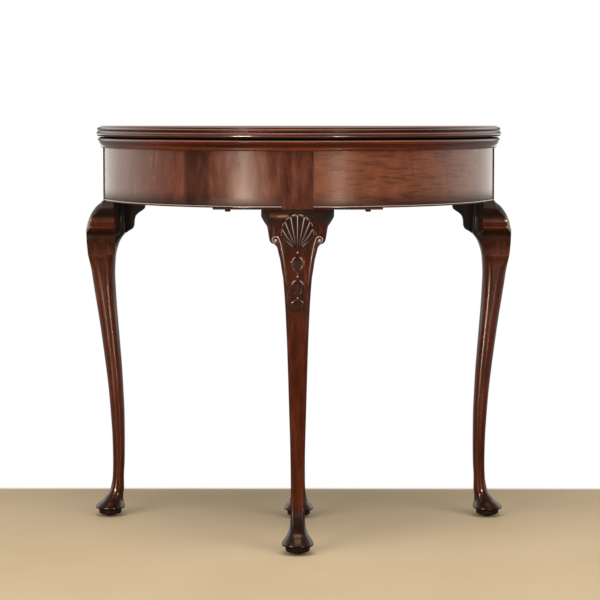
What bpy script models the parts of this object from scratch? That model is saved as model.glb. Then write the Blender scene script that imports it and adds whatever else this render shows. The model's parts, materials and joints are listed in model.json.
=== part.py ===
# Demi-lune card table: a half-round folding top on four cabriole legs. The rear leg pulls out on
# a carriage to carry the opened flap. Metres, +Z up, front towards -Y. The origin lies on the
# floor under the middle of the table's box.
import math

import bmesh
import bpy
import numpy as np
from mathutils import Matrix, Vector

for old in list(bpy.data.objects):
    bpy.data.objects.remove(old)

# Fits and cutting allowances
fit = 0.0003
slide_fit = 0.0005
overrun = 0.01
weld_distance = 0.00002
edge_arris = 0.0012

# Top
table_height = 0.750
leaf_thickness = 0.019
leaf_gap = 0.002
upper_radius = 0.387
lower_inset = 0.0025
lower_taper = 0.0055
lower_arris = 0.002
fillet_inset = 0.007
fillet_height = 0.0027
small_bead_inset = 0.0014
small_bead_height = 0.0055
groove_inset = 0.0035
groove_height = 0.0015
crossband_width = 0.045
baize_border = 0.014
baize_depth = 0.0011
baize_thickness = 0.0007
top_steps = 96

# Apron
apron_inset = 0.0058
apron_thickness = 0.022
apron_height = 0.1005
bead_height = 0.004
bead_depth = 0.004
bead_proud = 0.0011

# Legs and feet
block_width = 0.0548
block_depth = 0.042
block_drop = 0.0016
knee_overhang = 0.0301
side_leg_setback = 0.0350
flare_height = 0.0650
foot_radius = 0.028
foot_inset = 0.0098
glide_height = 0.005
glide_radius = 0.007
glide_spike_radius = 0.0014
glide_spike_length = 0.012

# Ears
ear_reach = 0.0362
ear_height = 0.1042
ear_depth = 0.026
inner_ear_reach = 0.0362
inner_ear_height = 0.0637
inner_ear_thickness = 0.026

# Back rails, guides and slide bed
rail_thickness = 0.020
guide_thickness = 0.0132
bed_thickness = 0.012
bed_drop = 0.0048
bed_notch_half_width = 0.070
tie_thickness = 0.018
keeper_setback = 0.012

# Carriage
carriage_half_width = 0.137
carriage_headroom = 0.0008
tail_setback = 0.018
runner_width = 0.024
runner_height = 0.045
runner_setback = 0.010
slot_margin = 0.0575
peg_width = 0.010
peg_setback = 0.020
peg_drop = 0.005
peg_length = 0.038
peg_play = 0.0012

# Hinges and screws
hinge_offset = 0.200
hinge_length = 0.045
hinge_plate_height = 0.015
hinge_plate_thickness = 0.0015
hinge_web = 0.003
barrel_radius = 0.0026
pin_radius = 0.0011
pin_play = 0.0004
screw_offset = 0.014
screw_head_radius = 0.0026
screw_shank_radius = 0.0013
screw_head_height = 0.0012
screw_length = 0.012
screw_drop = 0.0075

# Glue blocks and buttons
glue_block_side = 0.018
glue_block_length = 0.050
button_length = 0.034
button_width = 0.022
button_height = 0.014
tongue_length = 0.007
tongue_height = 0.005

# Angles, in degrees from the front
glue_block_angles = (-62, -14, 14, 62)
button_angles = (-40, 40)
back_button_share = 0.5

# Levels
underside = table_height - 2 * leaf_thickness - leaf_gap
lower_top = underside + leaf_thickness
upper_bottom = lower_top + leaf_gap
hinge_level = lower_top + leaf_gap / 2
rail_top = underside - fit
rail_bottom = underside - apron_height
knee_top = rail_bottom - block_drop
ear_top = rail_bottom - fit
bed_bottom = rail_bottom - bed_drop
bed_top = bed_bottom + bed_thickness
runner_bottom = bed_top + fit
runner_top = runner_bottom + runner_height
carriage_top = underside - carriage_headroom

# Places in plan. back_y is the plane of the leaves' straight edges, through the circle's centre
lower_radius = upper_radius - lower_inset
baize_radius = upper_radius - crossband_width
apron_radius = lower_radius - lower_taper - apron_inset
block_half = block_width / 2
half_depth = block_depth / 2
block_centre_radius = apron_radius - half_depth
back_y = (apron_radius + knee_overhang - barrel_radius) / 2
apron_inner = apron_radius - apron_thickness
rail_back = back_y - (side_leg_setback - block_half)
rail_front = rail_back - rail_thickness
rail_end = block_centre_radius - half_depth - fit
tail_back = back_y - tail_setback
tail_front = tail_back - rail_thickness
rear_leg_y = tail_front - fit - half_depth
notch_front = rear_leg_y - half_depth - slide_fit
runner_centre = carriage_half_width - runner_width / 2
guide_inner = carriage_half_width + slide_fit
guide_outer = guide_inner + guide_thickness
guide_front = back_y - math.sqrt(apron_inner**2 - guide_outer**2) + fit
runner_front = guide_front + runner_setback
peg_y = runner_front + peg_setback
bed_back = tail_front - 2 * slide_fit
carriage_travel = bed_back - slot_margin - peg_y

# Leg outline from the block down to the ankle, in shares of the knee's height, of its overhang
# (outer and inner face) and of half the block's width (half width and arris)
leg_shares = (
    (1.000, 0.00, 0.00, 1.00, 0.05),
    (0.986, 0.08, 0.00, 1.00, 0.05),
    (0.973, 0.32, 0.00, 1.00, 0.06),
    (0.960, 0.53, 0.00, 1.00, 0.07),
    (0.948, 0.69, 0.00, 1.00, 0.08),
    (0.935, 0.81, 0.00, 1.00, 0.08),
    (0.922, 0.91, 0.00, 1.00, 0.08),
    (0.909, 1.00, 0.00, 1.00, 0.08),
    (0.897, 0.99, 0.04, 1.00, 0.10),
    (0.886, 0.98, 0.21, 1.00, 0.12),
    (0.872, 0.97, 0.38, 1.00, 0.14),
    (0.855, 0.94, 0.50, 1.00, 0.17),
    (0.835, 0.90, 0.60, 1.00, 0.20),
    (0.808, 0.83, 0.65, 0.92, 0.24),
    (0.775, 0.74, 0.67, 0.86, 0.27),
    (0.735, 0.63, 0.64, 0.80, 0.29),
    (0.680, 0.46, 0.58, 0.74, 0.30),
    (0.615, 0.26, 0.48, 0.68, 0.31),
    (0.545, 0.07, 0.37, 0.63, 0.31),
    (0.475, -0.11, 0.26, 0.585, 0.31),
    (0.400, -0.28, 0.18, 0.54, 0.31),
    (0.325, -0.40, 0.12, 0.49, 0.30),
    (0.250, -0.49, 0.11, 0.46, 0.30),
    (0.175, -0.52, 0.13, 0.445, 0.31),
    (0.125, -0.49, 0.18, 0.448, 0.33),
)

# Pad foot, in shares of the height from its sole to where it flares, of its radius, and of the
# way from the ankle's centre to the foot's
foot_shares = (
    (0.82, 0.462, 0.12),
    (0.66, 0.500, 0.28),
    (0.53, 0.585, 0.46),
    (0.42, 0.705, 0.66),
    (0.33, 0.850, 0.84),
    (0.27, 0.945, 0.96),
    (0.22, 1.000, 1.00),
    (0.165, 0.930, 1.00),
    (0.11, 0.780, 1.00),
    (0.00, 0.730, 1.00),
)

foot_round_share = 0.96

# Ear outlines, in shares of their reach from the block and of their height below the rail
ear_shares = (
    (0.00, 1.00),
    (0.06, 0.86),
    (0.17, 0.70),
    (0.22, 0.63),
    (0.30, 0.595),
    (0.48, 0.56),
    (0.56, 0.53),
    (0.63, 0.42),
    (0.66, 0.36),
    (0.70, 0.29),
    (0.82, 0.23),
    (0.90, 0.19),
    (1.00, 0.11),
)
inner_ear_shares = (
    (0.00, 0.00),
    (1.00, 0.00),
    (1.00, 0.22),
    (0.94, 0.29),
    (0.83, 0.34),
    (0.67, 0.40),
    (0.55, 0.46),
    (0.47, 0.53),
    (0.43, 0.65),
    (0.415, 0.77),
    (0.33, 0.88),
    (0.14, 0.945),
    (0.00, 1.00),
)

parts = bpy.data.collections.new("demi_lune_card_table")
cutters = bpy.data.collections.new("cutters")
bpy.context.scene.collection.children.link(parts)
bpy.context.scene.collection.children.link(cutters)
cutters.hide_render = True


def finish_of(name, colour, roughness, metallic=0.0):
    material = bpy.data.materials.new(name)
    material.use_nodes = True
    shader = material.node_tree.nodes["Principled BSDF"]
    shader.inputs["Base Color"].default_value = (*colour, 1.0)
    shader.inputs["Roughness"].default_value = roughness
    shader.inputs["Metallic"].default_value = metallic
    material.diffuse_color = (*colour, 1.0)
    return material


mahogany = finish_of("mahogany", (0.085, 0.020, 0.010), 0.28)
mahogany_veneer = finish_of("mahogany_veneer", (0.140, 0.036, 0.018), 0.25)
beech = finish_of("beech", (0.300, 0.170, 0.085), 0.60)
baize = finish_of("baize", (0.030, 0.110, 0.060), 0.95)
brass = finish_of("brass", (0.560, 0.390, 0.150), 0.35, 1.0)
steel = finish_of("steel", (0.110, 0.105, 0.100), 0.45, 1.0)


def hang_on(obj, empty):
    """Parents an object to an empty without moving it."""
    obj.parent = empty
    obj.matrix_parent_inverse = Matrix.Translation(empty.location).inverted()
    return obj


def place(name, mesh, material=None, at=(0, 0, 0), turn=0.0, parent=None):
    obj = bpy.data.objects.new(name, mesh)
    obj.location = at
    obj.rotation_euler = (0, 0, turn)
    if material is None:
        obj.hide_render = True
        obj.display_type = "WIRE"
        cutters.objects.link(obj)
        return obj
    mesh.materials.clear()
    mesh.materials.append(material)
    parts.objects.link(obj)
    if parent is not None:
        hang_on(obj, parent)
    return obj


def axis_empty(name, at):
    empty = bpy.data.objects.new(name, None)
    empty.location = at
    parts.objects.link(empty)
    return empty


def cut(target, *tools):
    for tool in tools:
        modifier = target.modifiers.new("cut_" + tool.name, "BOOLEAN")
        modifier.operation = "DIFFERENCE"
        modifier.solver = "EXACT"
        modifier.object = tool
    return target


def box_mesh(name, size, arris=0.0):
    bm = bmesh.new()
    bmesh.ops.create_cube(bm, size=1.0)
    bmesh.ops.scale(bm, vec=size, verts=bm.verts)
    if arris > 0:
        bmesh.ops.bevel(bm, geom=bm.edges[:], offset=arris, segments=1, affect="EDGES")
    return mesh_from(bm, name)


def box(name, low, high, material=None, arris=0.0, parent=None):
    """A box between two corners."""
    low = Vector(low)
    high = Vector(high)
    mesh = box_mesh(name, high - low, arris)
    return place(name, mesh, material, (low + high) / 2, parent=parent)


def mesh_from(bm, name):
    bmesh.ops.recalc_face_normals(bm, faces=bm.faces[:])
    mesh = bpy.data.meshes.new(name)
    bm.to_mesh(mesh)
    bm.free()
    return mesh


def smooth(obj, angle=35):
    obj.data.shade_smooth()
    obj.data.set_sharp_from_angle(angle=math.radians(angle))
    return obj


def cylinder(name, radius, length, at, axis="Z", steps=16, material=None, end_radius=None):
    bm = bmesh.new()
    far = radius if end_radius is None else end_radius
    bmesh.ops.create_cone(
        bm, cap_ends=True, segments=steps, radius1=radius, radius2=far, depth=length
    )
    if axis == "X":
        bmesh.ops.rotate(bm, verts=bm.verts, matrix=Matrix.Rotation(math.radians(90), 3, "Y"))
    if axis == "Y":
        bmesh.ops.rotate(bm, verts=bm.verts, matrix=Matrix.Rotation(math.radians(-90), 3, "X"))
    return place(name, mesh_from(bm, name), material, at)


def prism(name, outline, bottom, top, material=None, at=(0, 0, 0)):
    """A flat outline, given in X and Y, raised from bottom to top."""
    curve = bpy.data.curves.new(name, "CURVE")
    curve.dimensions = "2D"
    curve.fill_mode = "BOTH"
    curve.extrude = (top - bottom) / 2
    spline = curve.splines.new("POLY")
    spline.points.add(len(outline) - 1)
    for point, (x, y) in zip(spline.points, outline):
        point.co = (x, y, 0, 1)
    spline.use_cyclic_u = True
    guide = bpy.data.objects.new(name + "_outline", curve)
    cutters.objects.link(guide)
    bpy.context.view_layer.update()
    graph = bpy.context.evaluated_depsgraph_get()
    mesh = bpy.data.meshes.new_from_object(guide.evaluated_get(graph))
    bpy.data.objects.remove(guide)
    bm = bmesh.new()
    bm.from_mesh(mesh)
    bpy.data.meshes.remove(mesh)
    bmesh.ops.remove_doubles(bm, verts=bm.verts, dist=weld_distance)
    x, y, z = at
    return place(name, mesh_from(bm, name), material, (x, y, z + (top + bottom) / 2))


def lathe(name, profile, steps, material=None, at=(0, 0, 0), parent=None):
    """A profile of (radius, height) points, from the top down its outer side, turned round Z."""
    mesh = bpy.data.meshes.new(name)
    points = [(radius, 0, height) for radius, height in profile]
    links = [(i, i + 1) for i in range(len(points) - 1)]
    mesh.from_pydata(points, links, [])
    obj = place(name, mesh, material, at, parent=parent)
    turned = obj.modifiers.new("turned", "SCREW")
    turned.steps = steps
    turned.render_steps = steps
    turned.use_merge_vertices = True
    turned.merge_threshold = weld_distance
    turned.use_smooth_shade = True
    return obj


def ring_sector(name, profile, sweep, walls, material):
    """A (radius, height) section spun from the front through an angle, trimmed by planes."""
    bm = bmesh.new()
    face = bm.faces.new([bm.verts.new((0, -radius, height)) for radius, height in profile])
    bmesh.ops.spin(
        bm,
        geom=[face, *face.edges, *face.verts],
        cent=(0, 0, 0),
        axis=(0, 0, 1),
        angle=sweep,
        steps=top_steps // 4,
    )
    for point, normal in walls:
        cut_away = bmesh.ops.bisect_plane(
            bm,
            geom=bm.verts[:] + bm.edges[:] + bm.faces[:],
            dist=weld_distance,
            plane_co=point,
            plane_no=normal,
            clear_outer=True,
        )
        rim = [item for item in cut_away["geom_cut"] if isinstance(item, bmesh.types.BMEdge)]
        bmesh.ops.contextual_create(bm, geom=rim)
    return place(name, mesh_from(bm, name), material, (0, back_y, 0))


def loft(name, rings, material, at, turn, parent=None):
    """Skins rings that hold the same number of points and caps both ends."""
    bm = bmesh.new()
    rows = [[bm.verts.new(point) for point in ring] for ring in rings]
    for upper, lower in zip(rows, rows[1:]):
        for i in range(len(upper)):
            j = (i + 1) % len(upper)
            bm.faces.new((upper[i], upper[j], lower[j], lower[i]))
    bm.faces.new(rows[0])
    bm.faces.new(reversed(rows[-1]))
    return smooth(place(name, mesh_from(bm, name), material, at, turn, parent))


def half_disc(radius, inset, steps=top_steps):
    """A half circle open to the back, its straight side inset from the leaves' back plane."""
    reach = math.asin(inset / radius)
    angles = np.linspace(-math.pi + reach, -reach, steps // 2 + 1)
    return [(radius * math.cos(a), radius * math.sin(a)) for a in angles]


def half_round(inset, deepest, top, height, steps=5):
    """A bead's half ellipse, from its top to its bottom, as (inset, level) points."""
    points = []
    for i in range(steps + 1):
        a = math.pi * i / steps
        points.append(
            (inset - (inset - deepest) * math.sin(a), top - height * (1 - math.cos(a)) / 2)
        )
    return points


# The two leaves. Each is turned whole, then cut off at the straight back edge
flap_axis = axis_empty("flap_axis", (0, back_y, hinge_level))
carriage_axis = axis_empty("carriage_axis", (0, tail_back, rail_bottom))


def back_cutter(name, bottom, top):
    wide = upper_radius + overrun
    return box(
        name,
        (-wide, back_y - fit, bottom - overrun),
        (wide, back_y + wide, top + overrun),
    )


def barrel_channel(name, side):
    return cylinder(
        name,
        barrel_radius + slide_fit,
        hinge_length + 2 * slide_fit,
        (side * hinge_offset, back_y, hinge_level),
        "X",
    )


def plate_recess(name, side, low, high):
    half = hinge_length / 2 + fit
    return box(
        name,
        (side * hinge_offset - half, back_y - 2 * fit - hinge_plate_thickness, low),
        (side * hinge_offset + half, back_y + overrun, high),
    )


def screw_hole(name, x, level):
    length = screw_length + overrun
    return cylinder(
        name,
        screw_shank_radius + fit,
        length,
        (x, back_y - screw_length - 2 * fit + length / 2, level),
        "Y",
        8,
    )


def baize_recess(name, bottom, top):
    outline = half_disc(baize_radius + fit, baize_border - fit)
    return prism(name, outline, bottom, top, at=(0, back_y, 0))


lower_plate_top = hinge_level - hinge_web
lower_plate_bottom = lower_plate_top - hinge_plate_height
upper_plate_bottom = hinge_level + hinge_web
upper_plate_top = upper_plate_bottom + hinge_plate_height
lower_screw_level = lower_plate_top - screw_drop
upper_screw_level = upper_plate_bottom + screw_drop


def leaf_cutters(name, low, high, screw_level):
    tools = []
    for side, mark in ((-1, "left"), (1, "right")):
        tools.append(barrel_channel(f"{name}_channel_{mark}", side))
        tools.append(plate_recess(f"{name}_recess_{mark}", side, low, high))
        for end, step in (("a", -1), ("b", 1)):
            x = side * hinge_offset + step * screw_offset
            tools.append(screw_hole(f"{name}_hole_{mark}_{end}", x, screw_level))
    return tools


def make_lower_leaf():
    bottom_radius = lower_radius - lower_taper
    profile = (
        (0, lower_top),
        (lower_radius - lower_arris, lower_top),
        (lower_radius, lower_top - lower_arris),
        (bottom_radius + lower_arris / 2, underside + lower_arris),
        (bottom_radius - lower_arris / 2, underside),
        (0, underside),
    )
    leaf = lathe("lower_leaf", profile, top_steps, mahogany, (0, back_y, 0))
    tools = leaf_cutters("lower", lower_plate_bottom - fit, lower_top + overrun, lower_screw_level)
    recess = baize_recess("lower_baize_recess", lower_top - baize_depth, lower_top + overrun)
    cut(leaf, back_cutter("lower_back", underside, lower_top), recess, *tools)
    outline = half_disc(baize_radius, baize_border)
    floor = lower_top - baize_depth + fit
    prism("lower_baize", outline, floor, floor + baize_thickness, baize, (0, back_y, 0))


def make_upper_leaf():
    bead_top = table_height - fillet_height
    groove_top = bead_top - small_bead_height
    groove_bottom = groove_top - groove_height
    insets = [(fillet_inset, table_height), (fillet_inset, bead_top)]
    insets += half_round(groove_inset, small_bead_inset, bead_top, small_bead_height)
    insets += half_round(groove_inset, 0, groove_bottom, groove_bottom - upper_bottom)
    profile = [(upper_radius - inset, level) for inset, level in insets]
    profile = [(0, table_height), *profile, (0, upper_bottom)]
    profile = [(radius, level - hinge_level) for radius, level in profile]
    at = (0, back_y, hinge_level)
    leaf = lathe("upper_leaf", profile, top_steps, mahogany, at, flap_axis)
    tools = leaf_cutters("upper", upper_bottom - overrun, upper_plate_top + fit, upper_screw_level)
    recess = baize_recess("upper_baize_recess", upper_bottom - overrun, upper_bottom + baize_depth)
    cut(leaf, back_cutter("upper_back", upper_bottom, table_height), recess, *tools)
    outline = half_disc(baize_radius, baize_border)
    ceiling = upper_bottom + baize_depth - fit
    floor = ceiling - baize_thickness
    lining = prism("upper_baize", outline, floor, ceiling, baize, (0, back_y, 0))
    hang_on(lining, flap_axis)


# Hinges. The lower plate carries the two outer knuckles and the upper plate the middle one
def joined(name, shapes, material, parent=None):
    """One mesh from overlapping shapes, by Boolean union."""
    base = shapes[0]
    for other in shapes[1:]:
        modifier = base.modifiers.new("join_" + other.name, "BOOLEAN")
        modifier.operation = "UNION"
        modifier.solver = "EXACT"
        modifier.object = other
    bpy.context.view_layer.update()
    graph = bpy.context.evaluated_depsgraph_get()
    mesh = bpy.data.meshes.new_from_object(base.evaluated_get(graph))
    at = base.location.copy()
    for shape in shapes:
        bpy.data.objects.remove(shape)
    mesh.name = name
    return place(name, mesh, material, at, parent=parent)


def make_hinge(side, mark):
    centre = side * hinge_offset
    half = hinge_length / 2
    knuckle = (hinge_length - 2 * fit) / 3
    face = back_y - fit
    inside = face - hinge_plate_thickness
    end_centres = [centre - half + knuckle / 2, centre + half - knuckle / 2]
    layouts = (
        ("lower", end_centres, lower_plate_bottom, lower_plate_top, lower_screw_level, None),
        ("upper", [centre], upper_plate_bottom, upper_plate_top, upper_screw_level, flap_axis),
    )
    for level_name, places, low, high, screw_level, parent in layouts:
        name = f"hinge_plate_{level_name}_{mark}"
        shapes = [box(name + "_body", (centre - half, inside, low), (centre + half, face, high))]
        web_low = min(high, hinge_level)
        web_high = max(low, hinge_level)
        for number, x in enumerate(places):
            near = (x - knuckle / 2, inside, web_low - barrel_radius / 4)
            far = (x + knuckle / 2, face, web_high + barrel_radius / 4)
            shapes.append(box(f"{name}_web_{number}", near, far))
            at = (x, back_y, hinge_level)
            shapes.append(
                cylinder(f"{name}_knuckle_{number}", barrel_radius, knuckle, at, "X", 16)
            )
        plate = joined(name, shapes, brass, parent)
        bore_length = hinge_length + 2 * overrun
        bore = cylinder(
            name + "_bore",
            pin_radius + pin_play,
            bore_length,
            (centre, back_y, hinge_level),
            "X",
        )
        cut(plate, bore)
        for end, step in (("a", -1), ("b", 1)):
            x = centre + step * screw_offset
            sink = cylinder(
                f"{name}_sink_{end}",
                screw_shank_radius + fit,
                hinge_plate_thickness + 2 * fit,
                (x, face - hinge_plate_thickness / 2, screw_level),
                "Y",
                12,
                end_radius=screw_head_radius + 2 * fit,
            )
            cut(plate, sink)
            make_screw(f"hinge_screw_{level_name}_{mark}_{end}", x, screw_level, parent)
    cylinder(
        f"hinge_pin_{mark}",
        pin_radius,
        hinge_length,
        (centre, back_y, hinge_level),
        "X",
        12,
        brass,
    )


def make_screw(name, x, level, parent):
    tip = screw_shank_radius / 3
    profile = (
        (0, 0),
        (screw_head_radius, 0),
        (screw_shank_radius, -screw_head_height),
        (screw_shank_radius, -screw_length + 2 * screw_shank_radius),
        (tip, -screw_length),
        (0, -screw_length),
    )
    screw = lathe(name, profile, 10, brass, (x, back_y - fit, level))
    screw.rotation_euler = (math.radians(-90), 0, 0)
    if parent is not None:
        hang_on(screw, parent)
    return screw


# Apron halves with a rebate for the cock bead, trimmed at the front block and the side blocks
front_trim = ((block_half + fit, 0, 0), (-1, 0, 0))
side_trim = ((0, -side_leg_setback - block_half - fit, 0), (0, 1, 0))


def mirrored(walls, side):
    return [((side * p[0], p[1], p[2]), (side * n[0], n[1], n[2])) for p, n in walls]


def make_apron(side, mark):
    rebate = apron_radius - bead_depth
    ledge = rail_bottom + bead_height + fit
    section = (
        (apron_inner, rail_top),
        (apron_inner, rail_bottom),
        (rebate, rail_bottom),
        (rebate, ledge),
        (apron_radius, ledge),
        (apron_radius, rail_top),
    )
    walls = mirrored((front_trim, side_trim), side)
    quarter = side * math.radians(90)
    apron = ring_sector("apron_" + mark, section, quarter, walls, mahogany_veneer)
    middle = rail_bottom + bead_height / 2
    bead_section = [(rebate + fit, rail_bottom)]
    for i in range(5):
        a = math.radians(-90 + 45 * i)
        out = apron_radius + bead_proud * math.cos(a)
        bead_section.append((out, middle + bead_height / 2 * math.sin(a)))
    bead_section.append((rebate + fit, rail_bottom + bead_height))
    ring_sector("apron_bead_" + mark, bead_section, quarter, walls, mahogany)
    return apron


# Legs. Local -Y points outwards from the block's centre line
leg_table = np.array(leg_shares)
leg_levels = leg_table[:, 0] * knee_top
leg_outer = half_depth + leg_table[:, 1] * knee_overhang
leg_inner = -half_depth + leg_table[:, 2] * knee_overhang
knee_tip = leg_levels[np.argmax(leg_outer)]
ankle_out = (leg_outer[-1] + leg_inner[-1]) / 2
foot_out = half_depth - foot_inset


def outer_at(level):
    return np.interp(level, leg_levels[::-1], leg_outer[::-1])


def inner_at(level):
    return np.interp(level, leg_levels[::-1], leg_inner[::-1])


def face_drop(across, setback):
    """How far the apron's round face falls behind the block's flat one, setback None for flat."""
    if setback is None:
        return 0.0
    return math.sqrt(apron_radius**2 - (across + setback) ** 2) - apron_radius


def drop_share(level):
    return min(max((level - knee_tip) / (knee_top - knee_tip), 0.0), 1.0)


def leg_ring(level, out, depth, half_width, arris_share, setback):
    """A rounded square with one more point in the middle of its outer face."""
    ring = []
    corners = ((1, 1, 0), (-1, 1, 90), (-1, -1, 180), (1, -1, 270))
    for side_x, side_out, turn in corners:
        for step in range(4):
            a = math.radians(turn + 30 * step)
            across = half_width * (side_x * (1 - arris_share) + arris_share * math.cos(a))
            beyond = depth * (side_out * (1 - arris_share) + arris_share * math.sin(a))
            ring.append([across, out + beyond])
        if side_out > 0 and side_x > 0:
            ring.append([0.0, out + depth])
    share = drop_share(level)
    for point in ring:
        if point[1] > out + depth * (1 - arris_share) * share and share > 0:
            point[1] += share * face_drop(point[0], setback)
    return [(across, -beyond, level) for across, beyond in ring]


def leg_rings(setback, top):
    rings = []
    for level, row in zip((top, *leg_levels), (leg_table[0], *leg_table)):
        outer = outer_at(level)
        inner = inner_at(level)
        depth = (outer - inner) / 2
        width = row[3] * block_half
        rings.append(leg_ring(level, (outer + inner) / 2, depth, width, row[4], setback))
    for height, radius, drift in foot_shares:
        level = glide_height + height * (flare_height - glide_height)
        out = ankle_out + drift * (foot_out - ankle_out)
        size = radius * foot_radius
        round_share = foot_round_share - height * (foot_round_share - leg_shares[-1][4])
        rings.append(leg_ring(level, out, size, size, round_share, setback))
    return rings


def make_leg(name, at, turn, setback, mirror, top, parent=None):
    rings = leg_rings(setback, top)
    if mirror:
        rings = [[(-x, y, z) for x, y, z in ring] for ring in rings]
    leg = loft(name + "_leg", rings, mahogany, at, turn, parent)
    foot = Vector(at) + Matrix.Rotation(turn, 3, "Z") @ Vector((0, -foot_out, 0))
    socket_length = glide_spike_length + overrun
    socket = cylinder(
        name + "_glide_socket",
        glide_spike_radius + fit,
        socket_length,
        (foot.x, foot.y, glide_height + glide_spike_length + fit - socket_length / 2),
        steps=8,
    )
    cut(leg, socket)
    rim = glide_height - fit
    profile = (
        (0, rim + glide_spike_length - fit),
        (glide_spike_radius / 3, rim + glide_spike_length - fit),
        (glide_spike_radius, rim + glide_spike_length - 3 * glide_spike_radius),
        (glide_spike_radius, rim),
        (glide_radius, rim),
        (glide_radius, glide_height / 3),
        (glide_radius - glide_height / 3, 0),
        (0, 0),
    )
    lathe(name + "_glide", profile, 16, steel, (foot.x, foot.y, 0), parent)


# Ears. The shaped ones run out from the block under the rail and fade from knee to rail face
def make_ear(name, at, turn, setback, side, parent=None):
    """An ear on one side of a leg, lofted outwards from the block's side."""
    rings = []
    rows = 6
    for reach_share, height_share in ear_shares:
        across = block_half + fit + reach_share * ear_reach
        bottom = ear_top - height_share * ear_height
        levels = np.linspace(ear_top, bottom, rows)
        front = []
        back = []
        for level in levels:
            share = drop_share(level)
            share = share + (1 - share) * reach_share
            rise = (outer_at(level) - half_depth) * math.cos(reach_share * math.pi / 2)
            out = half_depth + rise + share * face_drop(across, setback)
            front.append((side * across, -out, level))
            inward = max(half_depth - ear_depth, inner_at(level))
            back.append((side * across, -inward, level))
        rings.append(front + back[::-1])
    return loft(name, rings, mahogany, at, turn, parent)


def make_inner_ear(side, mark):
    """The ear under a back rail, sawn flat from an outline."""
    outline = [
        (-reach * inner_ear_reach, -height * inner_ear_height)
        for reach, height in inner_ear_shares
    ]
    ear = prism(mark + "_ear_inner", outline, 0, inner_ear_thickness, mahogany)
    flip = 1 if side > 0 else -1
    ear.data.transform(Matrix.Translation((0, 0, inner_ear_thickness / 2)))
    ear.data.transform(Matrix.Rotation(math.radians(90), 4, "X"))
    ear.data.transform(Matrix.Scale(flip, 4, (1, 0, 0)))
    if flip < 0:
        ear.data.flip_normals()
    ear.location = (flip * rail_end, rail_back, ear_top)
    return ear


def make_fixed_legs():
    front = (0, back_y - block_centre_radius, 0)
    make_leg("front", front, 0.0, 0.0, False, rail_top)
    make_ear("front_ear_left", front, 0.0, 0.0, -1)
    make_ear("front_ear_right", front, 0.0, 0.0, 1)
    for side, mark in ((-1, "left"), (1, "right")):
        at = (side * block_centre_radius, back_y - side_leg_setback, 0)
        turn = math.radians(90 * side)
        make_leg(mark, at, turn, side_leg_setback, side > 0, rail_top)
        make_ear(mark + "_ear_front", at, turn, side_leg_setback, -side)
        make_inner_ear(side, mark)


# Fixed woodwork behind the apron: back rails, guides, slide bed, tie rail and keeper
def make_back_frame():
    for side, mark in ((-1, "left"), (1, "right")):
        near = side * (carriage_half_width + 2 * slide_fit)
        far = side * rail_end
        box(
            "back_rail_" + mark,
            (min(near, far), rail_front, rail_bottom),
            (max(near, far), rail_back, rail_top),
            beech,
        )
        inner = side * guide_inner
        outer = side * guide_outer
        box(
            "guide_" + mark,
            (min(inner, outer), guide_front, bed_top + fit),
            (max(inner, outer), rail_front - fit, rail_top),
            beech,
        )
    tie_front = notch_front - tie_thickness
    over = runner_top + slide_fit
    span = guide_inner - fit
    box("tie_rail", (-span, tie_front, over), (span, notch_front, rail_top), beech)
    keeper_front = guide_front + keeper_setback
    box(
        "front_keeper",
        (-span, keeper_front, over),
        (span, keeper_front + tie_thickness, rail_top),
        beech,
    )


def make_slide_bed():
    outline = (
        (-guide_outer, guide_front),
        (guide_outer, guide_front),
        (guide_outer, bed_back),
        (bed_notch_half_width, bed_back),
        (bed_notch_half_width, notch_front),
        (-bed_notch_half_width, notch_front),
        (-bed_notch_half_width, bed_back),
        (-guide_outer, bed_back),
    )
    bed = prism("slide_bed", outline, bed_bottom, bed_top, beech)
    half = peg_width / 2 + peg_play
    for side, mark in ((-1, "left"), (1, "right")):
        x = side * runner_centre
        slot = box(
            "slot_" + mark,
            (x - half, peg_y - half, bed_bottom - overrun),
            (x + half, peg_y + carriage_travel + half, bed_top + overrun),
        )
        cut(bed, slot)


# Carriage: tail rail with the rear leg on its inner face, two runners, front tie, stop pegs
def make_carriage():
    box(
        "carriage_tail_rail",
        (-carriage_half_width, tail_front, rail_bottom),
        (carriage_half_width, tail_back, carriage_top),
        beech,
        edge_arris,
        carriage_axis,
    )
    runner_back = tail_front - fit
    half = runner_width / 2
    for side, mark in ((-1, "left"), (1, "right")):
        x = side * runner_centre
        runner = box(
            "runner_" + mark,
            (x - half, runner_front, runner_bottom),
            (x + half, runner_back, runner_top),
            beech,
            parent=carriage_axis,
        )
        peg_half = peg_width / 2
        peg_low = bed_bottom - peg_drop
        box(
            "stop_peg_" + mark,
            (x - peg_half, peg_y - peg_half, peg_low),
            (x + peg_half, peg_y + peg_half, peg_low + peg_length),
            mahogany,
            peg_width / 10,
            carriage_axis,
        )
        hole_half = peg_half + fit
        hole = box(
            "peg_hole_" + mark,
            (x - hole_half, peg_y - hole_half, runner_bottom - overrun),
            (x + hole_half, peg_y + hole_half, peg_low + peg_length + fit),
        )
        cut(runner, hole)
    span = runner_centre - half - fit
    box(
        "carriage_front_tie",
        (-span, runner_front, runner_bottom),
        (span, runner_front + tie_thickness, runner_top),
        beech,
        parent=carriage_axis,
    )
    at = (0, rear_leg_y, 0)
    turn = math.radians(180)
    make_leg("rear", at, turn, None, False, carriage_top, carriage_axis)
    make_ear("rear_ear_left", at, turn, None, 1, carriage_axis)
    make_ear("rear_ear_right", at, turn, None, -1, carriage_axis)


# Glue blocks and buttons. Their outer faces touch the apron's inner curve at both corners
def inside_apron(angle, half_width, depth):
    """Centre of a block that stands against the apron's inner face, angle from the front."""
    reach = math.sqrt((apron_inner - fit) ** 2 - half_width**2) - depth / 2
    return (reach * math.sin(angle), back_y - reach * math.cos(angle))


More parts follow.
